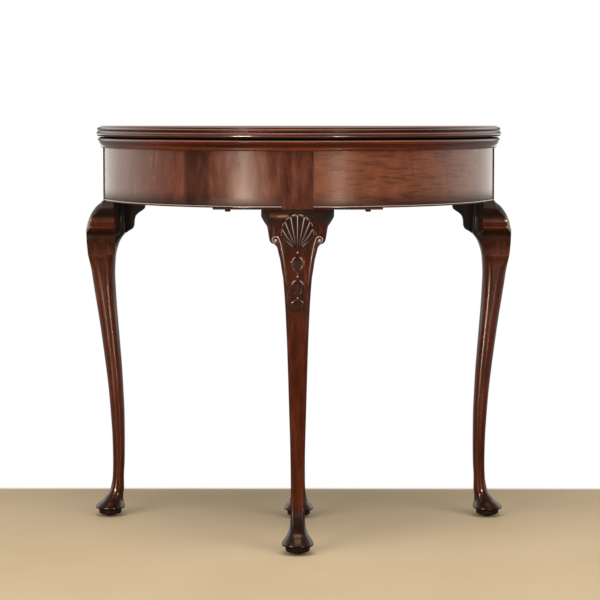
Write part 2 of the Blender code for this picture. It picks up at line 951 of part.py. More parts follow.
def make_glue_blocks():
    for number, degrees in enumerate(glue_block_angles, 1):
        angle = math.radians(degrees)
        x, y = inside_apron(angle, glue_block_length / 2, glue_block_side)
        size = (glue_block_length, glue_block_side, glue_block_side)
        mesh = box_mesh(f"glue_block_{number}", size, edge_arris)
        place(mesh.name, mesh, beech, (x, y, rail_top - glue_block_side / 2), angle)


def make_button(number, x, y, angle, rail):
    """A wooden button: its body under the leaf, its tongue in a mortise of the rail."""
    centre_level = rail_top - button_height / 2
    tongue_level = rail_top - button_height + tongue_height / 2
    forward = Vector((math.sin(angle), -math.cos(angle), 0))
    name = f"top_button_{number}"
    body = place(
        name + "_body",
        box_mesh(name + "_body", (button_width, button_length, button_height)),
        None,
        (x, y, centre_level),
        angle,
    )
    tongue_centre = Vector((x, y, tongue_level)) + forward * (button_length / 2)
    tongue_size = (button_width, 2 * tongue_length, tongue_height)
    tongue = place(
        name + "_tongue", box_mesh(name + "_tongue", tongue_size), None, tongue_centre, angle
    )
    button = joined(name, [body, tongue], beech)
    button.rotation_euler = (0, 0, angle)
    play = 2 * slide_fit
    hole_size = (button_width + play, 2 * tongue_length + play, tongue_height + play)
    hole = place(
        name + "_mortise", box_mesh(name + "_mortise", hole_size), None, tongue_centre, angle
    )
    cut(rail, hole)


def make_buttons(aprons):
    for number, (degrees, rail) in enumerate(zip(button_angles, aprons), 1):
        angle = math.radians(degrees)
        x, y = inside_apron(angle, button_width / 2, button_length)
        make_button(number, x, y, angle, rail)
    half_turn = math.radians(180)
    near = carriage_half_width + 2 * slide_fit
    for number, (side, mark) in enumerate(((-1, "left"), (1, "right")), 3):
        x = side * (near + back_button_share * (rail_end - near))
        y = rail_front - fit - button_length / 2
        make_button(number, x, y, half_turn, bpy.data.objects["back_rail_" + mark])


make_lower_leaf()
make_upper_leaf()
make_hinge(-1, "left")
make_hinge(1, "right")
aprons = [make_apron(-1, "left"), make_apron(1, "right")]
make_fixed_legs()
make_back_frame()
make_slide_bed()
make_carriage()
make_glue_blocks()
make_buttons(aprons)
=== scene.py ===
import contextlib
import json
import math

import bmesh
import bpy
import numpy as np
from mathutils import Matrix, Vector


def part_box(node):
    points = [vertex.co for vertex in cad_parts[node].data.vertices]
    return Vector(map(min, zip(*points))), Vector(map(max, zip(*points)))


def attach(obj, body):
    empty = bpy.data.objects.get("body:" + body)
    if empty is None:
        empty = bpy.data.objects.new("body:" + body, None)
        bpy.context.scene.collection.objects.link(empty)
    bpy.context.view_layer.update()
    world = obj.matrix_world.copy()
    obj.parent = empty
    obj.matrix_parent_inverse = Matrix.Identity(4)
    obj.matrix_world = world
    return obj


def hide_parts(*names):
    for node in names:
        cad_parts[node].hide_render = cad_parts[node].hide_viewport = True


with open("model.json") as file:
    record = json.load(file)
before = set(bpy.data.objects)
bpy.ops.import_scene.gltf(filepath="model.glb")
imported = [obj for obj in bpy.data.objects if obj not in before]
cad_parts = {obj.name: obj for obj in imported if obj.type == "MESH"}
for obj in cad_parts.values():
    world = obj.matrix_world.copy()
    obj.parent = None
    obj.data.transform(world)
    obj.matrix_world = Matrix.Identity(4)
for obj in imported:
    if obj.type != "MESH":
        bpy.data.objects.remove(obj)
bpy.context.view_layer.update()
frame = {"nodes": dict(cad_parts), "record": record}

scene = bpy.context.scene
scene.view_settings.view_transform = "Standard"

# Places read off the solids, in metres
fit = 0.0003
upperLow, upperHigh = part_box("upper_leaf")
lowerLow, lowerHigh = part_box("lower_leaf")
apronLow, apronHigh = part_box("apron_left")
legLow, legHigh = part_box("front_leg")
backY = upperHigh[1] + fit                 # plane of the leaves' straight edges
earDepth = 0.026
blockHalf = -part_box("front_ear_left")[1][0] - fit    # half the width of a leg's block
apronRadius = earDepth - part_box("left_ear_front")[1][0]
blockDepth = (legHigh[1] - backY + apronRadius) / 2
blockRadius = apronRadius - blockDepth     # from the top's centre to a block's centre line
kneeOverhang = backY - blockRadius - blockDepth - legLow[1]
railBottom = apronLow[2]
railTop = apronHigh[2]
kneeTop = railBottom - 0.0016
carvedBelow = kneeTop - 0.0005
sideSetback = backY - (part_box("left_leg")[0][1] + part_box("left_leg")[1][1]) / 2
bodies = frame["record"]["behaviour"]["bodies"]
bodyOf = {node: body for body, nodes in bodies.items() for node in nodes}
pieces = []
print("frame read:", len(frame["nodes"]), "nodes")


# Shared helpers
def linear(code):
    # sRGB hex to linear colour
    values = [int(code[i:i + 2], 16) / 255 for i in (1, 3, 5)]
    return tuple(v / 12.92 if v <= 0.04045 else ((v + 0.055) / 1.055) ** 2.4 for v in values) + (1,)


def setInputs(node, inputs):
    # inputs by name, or in the order of those in use; each is a value, a socket or a node
    if not isinstance(inputs, dict):
        inUse = [place for place, socket in enumerate(node.inputs) if socket.enabled]
        inputs = dict(zip(inUse, inputs))
    for place, value in inputs.items():
        if isinstance(value, bpy.types.Node):
            value = next(socket for socket in value.outputs if socket.enabled)
        if isinstance(value, bpy.types.NodeSocket):
            node.id_data.links.new(value, node.inputs[place])
        else:
            node.inputs[place].default_value = value


def addNode(tree, kind, inputs=(), stops=(), **settings):
    # one node with its settings, its inputs and, on a ramp, its colour stops
    made = tree.nodes.new("ShaderNode" + kind)
    for name, value in settings.items():
        setattr(made, name, value)
    setInputs(made, inputs)
    for i, (place, colour) in enumerate(stops):
        held = made.color_ramp.elements
        stop = held[i] if i < len(held) else held.new(place)
        stop.position = place
        stop.color = linear(colour)
    return made


def newMaterial(name):
    material = bpy.data.materials.new(name)
    material.use_nodes = True
    return material, material.node_tree, material.node_tree.nodes["Principled BSDF"]


def easeStep(value, start, end):
    # 0 before start, 1 after end, smooth between them
    t = np.clip((value - start) / (end - start), 0, 1)
    return t * t * (3 - 2 * t)


def easeBetween(value, rise, fall):
    return easeStep(value, *rise) * easeStep(value, *fall)


def throughPoints(at, knots, values):
    # smooth curve through given points that never swings past them
    knots = np.asarray(knots, float)
    values = np.asarray(values, float)
    if knots[0] > knots[-1]:
        knots = knots[::-1]
        values = values[::-1]
    step = np.diff(knots)
    slope = np.diff(values) / step
    tangent = np.zeros(len(knots))
    tangent[0] = slope[0]
    tangent[-1] = slope[-1]
    near = 2 * step[1:] + step[:-1]
    far = step[1:] + 2 * step[:-1]
    steady = slope[:-1] * slope[1:] > 0
    safe = np.where(steady, slope[:-1] * slope[1:], 1.0)
    mean = (near + far) * safe / (near * slope[1:] + far * slope[:-1] + np.where(steady, 0, 1.0))
    tangent[1:-1] = np.where(steady, mean, 0.0)
    i = np.clip(np.searchsorted(knots, at, side="right") - 1, 0, len(step) - 1)
    t = np.clip((at - knots[i]) / step[i], 0, 1)
    rise = values[i] * (1 + 2 * t) * (1 - t) ** 2 + values[i + 1] * t * t * (3 - 2 * t)
    bend = step[i] * (tangent[i] * t * (1 - t) ** 2 - tangent[i + 1] * t * t * (1 - t))
    return rise + bend


@contextlib.contextmanager
def editing(mesh):
    # opens a mesh for bmesh tools and writes it back
    bm = bmesh.new()
    bm.from_mesh(mesh)
    yield bm
    bm.to_mesh(mesh)
    bm.free()


def addValues(mesh, name, values):
    # one number of wax and painted light, or one grain vector, for each point
    kind, field = ("FLOAT", "value") if name == "wax" else ("FLOAT_VECTOR", "vector")
    held = mesh.attributes.new(name, kind, "POINT")
    held.data.foreach_set(field, np.ascontiguousarray(values, np.float32).ravel())


def skin(rows, grain, wax=None, closed=True, extraFaces=()):
    # quads between rows of points; a closed skin has both ends capped
    count, width = rows.shape[:2]
    index = np.arange(count * width).reshape(count, width)
    right = np.roll(index, -1, axis=1)
    if not closed:
        index = index[:, :-1]
        right = right[:, :-1]
    quads = np.stack([index[:-1], right[:-1], right[1:], index[1:]], axis=-1)
    faces = quads.reshape(-1, 4).tolist() + list(extraFaces)
    if closed:
        faces.append(list(range(width))[::-1])
        faces.append(list(range((count - 1) * width, count * width)))
    mesh = bpy.data.meshes.new("skin")
    mesh.from_pydata(rows.reshape(-1, 3).tolist(), [], faces)
    addValues(mesh, "grain", grain)
    mesh.validate()
    mesh.update()
    if wax is not None:
        addValues(mesh, "wax", wax)
    if closed:
        with editing(mesh) as bm:
            bmesh.ops.recalc_face_normals(bm, faces=bm.faces[:])
    return mesh


def plainName(node):
    words = node.split("_")
    return words[0] + "".join(word.title() for word in words[1:])


def addPiece(node, mesh, finish, angle=40, name=None):
    # a piece stands for one solid and rides on that solid's body
    obj = bpy.data.objects.new(name or plainName(node), mesh)
    mesh.name = obj.name
    scene.collection.objects.link(obj)
    mesh.materials.append(finishes[finish])
    mesh.shade_smooth()
    mesh.set_sharp_from_angle(angle=math.radians(angle))
    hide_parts(node)
    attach(obj, bodyOf[node])
    pieces.append(obj)
    return obj


# Camera: 3.6 m in front, a little above the top's level and 21 mm right of the middle
cameraPlace = {
    "at": (0.021, -3.589, 0.7831),
    "turns": (90 - 3.822, 0, 0.282),        # degrees: 3.8 below level, 0.3 to the left
    "lens": 118.13,
    "rise": -0.10,                          # shift of the lens, as a share of the frame
}
camera = bpy.data.objects.new("camera", bpy.data.cameras.new("camera"))
camera.location = cameraPlace["at"]
camera.rotation_euler = [math.radians(turn) for turn in cameraPlace["turns"]]
camera.data.sensor_width = 36
camera.data.lens = cameraPlace["lens"]
camera.data.shift_y = cameraPlace["rise"]
scene.collection.objects.link(camera)
scene.camera = camera

# Light: soft boxes that only fill, and windows and a skylight that also show in the polish
plainLight = "#fffcf8"
lampSettings = {
    # bearing in degrees clockwise from +Y, distance, height, size, watts, colour
    "softBoxAbove": (180, 0.9, 2.6, (2.4, 1.5), 50, plainLight),
    "softBoxLeft": (228, 2.6, 1.5, (1.5, 1.5), 30, plainLight),
    "softBoxRight": (132, 2.6, 1.5, (1.5, 1.5), 30, plainLight),
    "windowLeft": (211, 3.0, 1.40, (0.24, 1.76), 2.3, plainLight),
    "windowRight": (157, 3.0, 1.3, (0.34, 1.9), 0.6, plainLight),
    "lowStripLeft": (211, 3.0, 0.20, (0.54, 0.18), 29.0, "#ffe4cc"),
    "lowStripRight": (157, 3.0, 0.17, (0.34, 0.16), 13.0, "#ffe4cc"),
    "skylight": (180, 0.85, 2.7, (3.2, 0.40), 4.0, "#ffbd78"),
    "skylightMiddle": (189, 0.85, 2.7, (0.42, 0.40), 1.8, "#ffdcae"),
}
lampAim = Vector((0, 0, 0.5))

for lampName, (bearing, distance, height, size, power, colour) in lampSettings.items():
    lamp = bpy.data.lights.new(lampName, "AREA")
    lamp.shape = "RECTANGLE"
    lamp.size, lamp.size_y = size
    lamp.energy = power
    lamp.color = linear(colour)[:3]
    holder = bpy.data.objects.new(lampName, lamp)
    a = math.radians(bearing)
    holder.location = (distance * math.sin(a), distance * math.cos(a), height)
    holder.rotation_euler = (lampAim - holder.location).to_track_quat("-Z", "Y").to_euler()
    holder.visible_glossy = not lampName.startswith("softBox")
    scene.collection.objects.link(holder)

white = (1, 1, 1, 1)
roomSettings = {
    "ambient": 0.30, "front": 0.02, "backdrop": 1.0, "ceiling": 0.20, "skirting": 0.15,
    "wallColour": "#fffaf0",
    # directions between which one part of the room fades into the next, 1 being straight that way
    "frontToBack": (-0.55, 0.50), "wallToCeiling": (0.35, 0.85), "skirtingToWall": (0.10, 0.40),
    "backToSide": (0.25, 0.65),
}


def makeWorld():
    # white for the camera; polish sees the white backdrop behind and a dim room in front
    world = bpy.data.worlds.new("studio")
    world.use_nodes = True
    world.cycles.sampling_method = "NONE"
    tree = world.node_tree
    tree.nodes.clear()
    place = addNode(tree, "TexCoord").outputs["Generated"]
    split = addNode(tree, "SeparateXYZ", (place,)).outputs
    aside = addNode(tree, "Math", (split["X"],), operation="ABSOLUTE")
    room = roomSettings
    # the foot of the backdrop is dim, or the level top would shine white at this low view
    ways = (
        (split["Y"], *room["frontToBack"], room["front"], room["backdrop"]),
        (split["Z"], *room["wallToCeiling"], 1.0, room["ceiling"]),
        (split["Z"], *room["skirtingToWall"], room["skirting"], 1.0),
        (aside, *room["backToSide"]),
    )
    depth, overhead, skirting, corners = (
        addNode(tree, "MapRange", way, interpolation_type="SMOOTHSTEP") for way in ways)
    below = addNode(tree, "Math", (split["Z"], 0.0), operation="LESS_THAN")
    footing = addNode(tree, "Math", (skirting, below), operation="MAXIMUM")
    footing = addNode(tree, "Math", (footing, corners), operation="MAXIMUM")
    upper = addNode(tree, "Math", (depth, overhead), operation="MULTIPLY")
    walls = addNode(tree, "Math", (upper, footing), operation="MULTIPLY")
    rays = addNode(tree, "LightPath").outputs
    mirrored = addNode(tree, "Mix", (rays["Is Glossy Ray"], room["ambient"], walls))
    clear = addNode(tree, "Math", (rays["Is Camera Ray"], rays["Is Transmission Ray"]), operation="MAXIMUM")
    level = addNode(tree, "Mix", (clear, mirrored, 1.0))
    wall = linear(room["wallColour"])
    warmth = addNode(tree, "Mix", (rays["Is Glossy Ray"], white, wall), data_type="RGBA")
    sky = addNode(tree, "Background", (warmth, level))
    addNode(tree, "OutputWorld", (sky,))
    scene.world = world


makeWorld()
print("camera and light set")

floorSettings = {"size": 14.0, "colour": "#c1ae90", "mottle": "#b9a687", "edges": (0.95, 1.40),
                 "back": (0.42, 0.45), "inPolish": 0.08, "sweepInPolish": 0.2, "sweepFrom": (-0.5, 0.7),
                 "beyond": (0.85, 0.85, 0.85, 1)}


def makeFloor():
    mesh = bpy.data.meshes.new("floor")
    with editing(mesh) as bm:
        bmesh.ops.create_grid(bm, x_segments=8, y_segments=8, size=floorSettings["size"] / 2)
    # matt painted board: pale, faintly uneven, no shine; beyond the table it turns to white
    material, tree, shader = newMaterial("matt_painted_board")
    place = addNode(tree, "TexCoord").outputs["Object"]
    split = addNode(tree, "SeparateXYZ", (place,)).outputs
    aside, along = (addNode(tree, "Math", (split[way],), operation="ABSOLUTE") for way in "XY")
    sides, ends, back = (
        addNode(tree, "MapRange", (reach, *floorSettings[edge]), interpolation_type="SMOOTHSTEP")
        for reach, edge in ((aside, "edges"), (along, "edges"), (split["Y"], "back")))
    fade = addNode(tree, "Math", (sides, ends), operation="MAXIMUM")
    fade = addNode(tree, "Math", (fade, back), operation="MAXIMUM")
    # mottled in patches of about 330 mm
    mottle = addNode(tree, "TexNoise", {"Vector": place, "Scale": 3.0, "Detail": 4.0})
    stops = [(0.3, floorSettings["mottle"]), (0.7, floorSettings["colour"])]
    tone = addNode(tree, "ValToRGB", (mottle,), stops)
    paint = addNode(tree, "Mix", (fade, tone, floorSettings["beyond"]), data_type="RGBA")
    # the room in front is dim, so the floor is dimmer where polish mirrors it
    rays = addNode(tree, "LightPath").outputs
    dim = (floorSettings["inPolish"],) * 3 + (1,)
    shown = addNode(tree, "Mix", (rays["Is Glossy Ray"], white, dim), data_type="RGBA")
    toned = addNode(tree, "Mix", (1.0, paint, shown), data_type="RGBA", blend_type="MULTIPLY")
    setInputs(shader, {"Base Color": toned, "Roughness": 0.7, "Specular IOR Level": 0.2})
    # behind and beside the table polish mirrors the white sweep that the floor runs into
    sweep = (split["Y"], *floorSettings["sweepFrom"], 0.0, floorSettings["sweepInPolish"])
    behind = addNode(tree, "MapRange", sweep, interpolation_type="SMOOTHSTEP")
    behind = addNode(tree, "Math", (behind, rays["Is Glossy Ray"]), operation="MULTIPLY")
    seen = addNode(tree, "Math", (rays["Is Camera Ray"], behind), operation="MAXIMUM")
    seen = addNode(tree, "Math", (seen, fade), operation="MULTIPLY")
    glow = addNode(tree, "Emission", (white, 1.0))
    blend = addNode(tree, "MixShader", (seen, shader, glow))
    setInputs(tree.nodes["Material Output"], {"Surface": blend})
    floor = bpy.data.objects.new("floor", mesh)
    mesh.materials.append(material)
    scene.collection.objects.link(floor)


makeFloor()

# Finishes
# Mahogany under French polish: red-brown, long streaks, short dark pores, a deep clear shine
legMahogany = {
    "name": "french_polished_mahogany",
    "coordinates": "grain",
    "tones": ("#331304", "#461905", "#5a260a"),
    "streakLength": 0.110,
    "streakWidth": 0.0080,
    "poreLength": 0.0070,
    "poreWidth": 0.0009,     # real pores are 0.2 mm; drawn wider so that they show
    "poreShade": 0.40,
    "roughness": (0.16, 0.26),
    "coat": 1.0,
    "coatUnderWax": 0.10,
    "waxDull": 0.30,
    "coatRoughness": 0.07,
    "bump": 0.00005,
    "ripple": 0.0,
    "blotch": 0.0,
    "blotchSize": (0.030, 0.070, 0.050),
    "heartwoodAt": None,
}
# Veneers: the left half is plain with soft upright blotches, the right has fine ripple figure
veneerLeft = {**legMahogany, "name": "mahogany_veneer_blotched", "tones": ("#4c2617", "#5e3223", "#6c3c2c"),
              "streakLength": 0.016, "streakWidth": 0.075, "poreShade": 0.16, "blotch": 0.30,
              "roughness": (0.20, 0.30), "coatRoughness": 0.13}
mahoganyLooks = {
    "leg": legMahogany,
    # the same wood, scuffed and darkened by floor polish, so that lamps only glow on it
    "foot": {**legMahogany, "name": "mahogany_scuffed", "tones": ("#260f09", "#36170e", "#472216"),
             "roughness": (0.26, 0.36), "coatRoughness": 0.16, "coatUnderWax": 0.9, "waxDull": 0.0},
    # never polished, only sized; its near-black tones are painted shade for the parts in shadow behind the
    # side knees and under the carcase
    "inner": {**legMahogany, "name": "mahogany_unpolished", "tones": ("#120905", "#190d08", "#22120b"),
              "roughness": (0.55, 0.66), "coat": 0.15},
    "top": {**legMahogany, "name": "mahogany_top", "tones": ("#34140a", "#54260f", "#763a1c"),
            "coordinates": "Object", "streakLength": 0.22, "streakWidth": 0.010,
            "roughness": (0.34, 0.48), "coatRoughness": 0.30},
    "edge": {**legMahogany, "name": "mahogany_moulding", "tones": ("#2e0f04", "#501d06", "#702c0b"),
             "streakLength": 0.16, "streakWidth": 0.005},
    "veneerLeft": {**veneerLeft, "heartwoodAt": -0.194},
    "veneerRight": {**veneerLeft, "name": "mahogany_veneer_rippled", "blotch": 0.20, "ripple": 0.363,
                    "tones": ("#683923", "#6d3e29", "#73422d"), "streakLength": 0.050,
                    "streakWidth": 0.050, "poreShade": 0.10, "coatRoughness": 0.16},
    "veneerBlock": {**veneerLeft, "name": "mahogany_veneer_block",
                    "tones": ("#3e1c11", "#532a1c", "#643828"), "streakLength": 0.075,
                    "streakWidth": 0.014, "blotchSize": (0.070, 0.030, 0.050)},
}
# how far the dark streak wanders, how slow its right side is, where it ends, and its depth
heartwood = {"wander": 0.022, "fadeShare": 0.42, "edge": (0.009, 0.021), "shade": 0.45}
waxAndShadeColour = "#120806"
# near-white colour of the painted highlights on crests and bead lines
paintedHighlightColour = "#ded3cb"


def makeMahogany(look):
    material, tree, shader = newMaterial(look["name"])
    if look["coordinates"] == "grain":
        source = addNode(tree, "Attribute", attribute_name="grain").outputs["Vector"]
    else:
        source = addNode(tree, "TexCoord").outputs["Object"]
    wide, thin = look["streakWidth"], look["poreWidth"]
    noises = {}
    for name, size, noise in (
            ("streak", (look["streakLength"], wide, wide),
             {"Detail": 5.0, "Roughness": 0.62, "Distortion": 0.4}),
            # broad uneven figure of the cut
            ("blotch", look["blotchSize"], {"Detail": 3.0, "Distortion": 1.2}),
            # ripple figure: dark waves across the grain, about 6 mm apart and 35 mm long
            ("ripple", (0.034, 0.0040, 0.02), {"Detail": 1.5, "Distortion": 0.25}),
            ("pore", (look["poreLength"], thin, thin), {"Detail": 1.0})):
        if look.get(name, 1) > 0:
            scale = [1 / length for length in size]
            space = addNode(tree, "Mapping", {"Vector": source, "Scale": scale})
            noises[name] = addNode(tree, "TexNoise", {"Vector": space, "Scale": 1.0, **noise})
    stops = list(zip((0.30, 0.50, 0.72), look["tones"]))
    colour = addNode(tree, "ValToRGB", (noises["streak"],), stops)
    shades = {}
    for name, start, end, depth in (("blotch", 0.35, 0.62, look["blotch"]),
                                    ("ripple", 0.36, 0.50, look["ripple"]),
                                    ("pore", 0.34, 0.44, look["poreShade"])):
        if name in noises:
            shades[name] = addNode(tree, "MapRange", (noises[name], start, end, 1 - depth, 1.0))
    if look["heartwoodAt"] is not None:
        # one dark upright streak with a wandering edge, sharp on its left, fading on its right
        wander = heartwood["wander"]
        lane = addNode(tree, "SeparateXYZ", (source,)).outputs["X"]
        lane = addNode(tree, "Math", (noises["blotch"], wander, lane), operation="MULTIPLY_ADD")
        lane = addNode(tree, "Math", (lane, look["heartwoodAt"] + wander / 2), operation="SUBTRACT")
        right = addNode(tree, "Math", (lane, heartwood["fadeShare"]), operation="MULTIPLY")
        left = addNode(tree, "Math", (lane, -1.0), operation="MULTIPLY")
        away = addNode(tree, "Math", (right, left), operation="MAXIMUM")
        ends = (away, *heartwood["edge"], heartwood["shade"], 1.0)
        shades["heartwood"] = addNode(tree, "MapRange", ends, interpolation_type="SMOOTHSTEP")
    for shade in shades.values():
        colour = addNode(tree, "Mix", (1.0, colour, shade), data_type="RGBA", blend_type="MULTIPLY")
    # the wax attribute darkens towards the wax colour, for floor polish on the feet and painted shade in
    # hollows, gaps and shaded faces; where negative it lightens to painted highlights on crests and beads
    wax = addNode(tree, "Attribute", attribute_name="wax").outputs["Fac"]
    rubbed = addNode(tree, "Math", (wax, -1.0), operation="MULTIPLY")
    colour = addNode(tree, "Mix", (wax, colour, linear(waxAndShadeColour)), data_type="RGBA")
    colour = addNode(tree, "Mix", (rubbed, colour, linear(paintedHighlightColour)), data_type="RGBA")
    # the finish is duller and the polish weaker where the wax and the painted shade lie
    gloss = addNode(tree, "MapRange", (noises["streak"], 0.3, 0.7, *look["roughness"]))
    dull = addNode(tree, "MapRange", (wax, 0.3, 1.0, 0.0, look["waxDull"]))
    gloss = addNode(tree, "Math", (gloss, dull), operation="ADD")
    coat = look["coat"]
    polish = addNode(tree, "MapRange", (wax, 0.1, 0.8, coat, coat * look["coatUnderWax"]))
    # dents about 8 mm apart
    dents = addNode(tree, "TexNoise", {"Vector": source, "Scale": 130.0, "Detail": 2.0})
    height = addNode(tree, "Math", (shades["pore"], dents), operation="ADD")
    bump = addNode(tree, "Bump", {"Height": height, "Distance": look["bump"], "Strength": 0.6})
    setInputs(shader, {"Base Color": colour, "Roughness": gloss, "Normal": bump, "IOR": 1.5,
                       "Coat Weight": polish, "Coat Roughness": look["coatRoughness"],
                       "Coat IOR": 1.52})
    return material


# Planed beech washed with a dark stain, as carcase wood is: fine straight grain, flecks, no shine
beechLook = {"tones": ("#2f1d11", "#46301e", "#5b402a"), "fleck": 0.0011, "grainWidth": 0.004,
             "grainLength": 0.11, "roughness": 0.68}


def makeBeech():
    material, tree, shader = newMaterial("aged_planed_beech")
    source = addNode(tree, "Attribute", attribute_name="grain").outputs["Vector"]
    wide, fleck = beechLook["grainWidth"], beechLook["fleck"]
    noises = []
    for size, noise in (((beechLook["grainLength"], wide, wide), {"Detail": 5.0, "Roughness": 0.6}),
                        ((4 * fleck, fleck, fleck), {"Detail": 1.0})):
        scale = [1 / length for length in size]
        space = addNode(tree, "Mapping", {"Vector": source, "Scale": scale})
        noises.append(addNode(tree, "TexNoise", {"Vector": space, "Scale": 1.0, **noise}))
    rings, flecks = noises
    stops = list(zip((0.3, 0.5, 0.7), beechLook["tones"]))
    tone = addNode(tree, "ValToRGB", (rings,), stops)
    # stain that took unevenly, in patches of about 70 mm
    stain = addNode(tree, "TexNoise", {"Vector": source, "Scale": 14.0, "Detail": 3.0})
    stain = addNode(tree, "MapRange", (stain, 0.3, 0.7, 0.78, 1.08))
    dark = addNode(tree, "MapRange", (flecks, 0.35, 0.45, 0.72, 1.0))
    shade = addNode(tree, "Math", (dark, stain), operation="MULTIPLY")
    colour = addNode(tree, "Mix", (1.0, tone, shade), data_type="RGBA", blend_type="MULTIPLY")
    bump = addNode(tree, "Bump", {"Height": flecks, "Distance": 0.0002, "Strength": 0.5})
    setInputs(shader, {"Base Color": colour, "Roughness": beechLook["roughness"], "Normal": bump})
    return material


# Napped wool baize: soft green, mottled pile that drinks the light
def makeBaize():
    material, tree, shader = newMaterial("napped_green_baize")
    place = addNode(tree, "TexCoord").outputs["Object"]
    # fibres about 0.7 mm apart, and worn patches of about 110 mm
    pile = addNode(tree, "TexNoise", {"Vector": place, "Scale": 1400.0, "Detail": 2.0})
    worn = addNode(tree, "TexNoise", {"Vector": place, "Scale": 9.0, "Detail": 4.0})
    mixed = addNode(tree, "Math", (pile, worn), operation="ADD")
    mixed = addNode(tree, "Math", (mixed, 0.5), operation="MULTIPLY")
    stops = [(0.35, "#1d3a26"), (0.5, "#2c5438"), (0.68, "#426c4c")]
    tone = addNode(tree, "ValToRGB", (mixed,), stops)
    bump = addNode(tree, "Bump", {"Height": pile, "Distance": 0.0003, "Strength": 0.7})
    setInputs(shader, {"Base Color": tone, "Roughness": 0.95, "Specular IOR Level": 0.2,
                       "Sheen Weight": 0.35, "Sheen Roughness": 0.6, "Normal": bump})
    return material


# Cast and rubbed metals: dull yellow brass for the hinges, dark steel for the glides
metalLooks = {
    "brass": {"name": "rubbed_brass", "tones": ("#8a6a32", "#c09a52"), "roughness": (0.50, 0.30)},
    "steel": {"name": "dark_rolled_steel", "tones": ("#3a3733", "#5f5b55"), "roughness": (0.60, 0.38)},
}


def makeMetal(look):
    material, tree, shader = newMaterial(look["name"])
    place = addNode(tree, "TexCoord").outputs["Object"]
    # tarnish in patches of about 4 mm, scratches about 1 mm apart
    tarnish = addNode(tree, "TexNoise", {"Vector": place, "Scale": 260.0, "Detail": 5.0})
    tone = addNode(tree, "ValToRGB", (tarnish,), list(zip((0.35, 0.62), look["tones"])))
    gloss = addNode(tree, "MapRange", (tarnish, 0.35, 0.65, *look["roughness"]))
    scratch = addNode(tree, "TexNoise", {"Vector": place, "Scale": 900.0, "Detail": 2.0})
    bump = addNode(tree, "Bump", {"Height": scratch, "Distance": 0.00005, "Strength": 0.5})
    setInputs(shader, {"Base Color": tone, "Roughness": gloss, "Metallic": 1.0, "Normal": bump})
    return material


finishes = {name: makeMahogany(look) for name, look in mahoganyLooks.items()}
finishes.update({name: makeMetal(look) for name, look in metalLooks.items()})
finishes.update({"beech": makeBeech(), "baize": makeBaize()})
print("finishes made:", len(finishes))

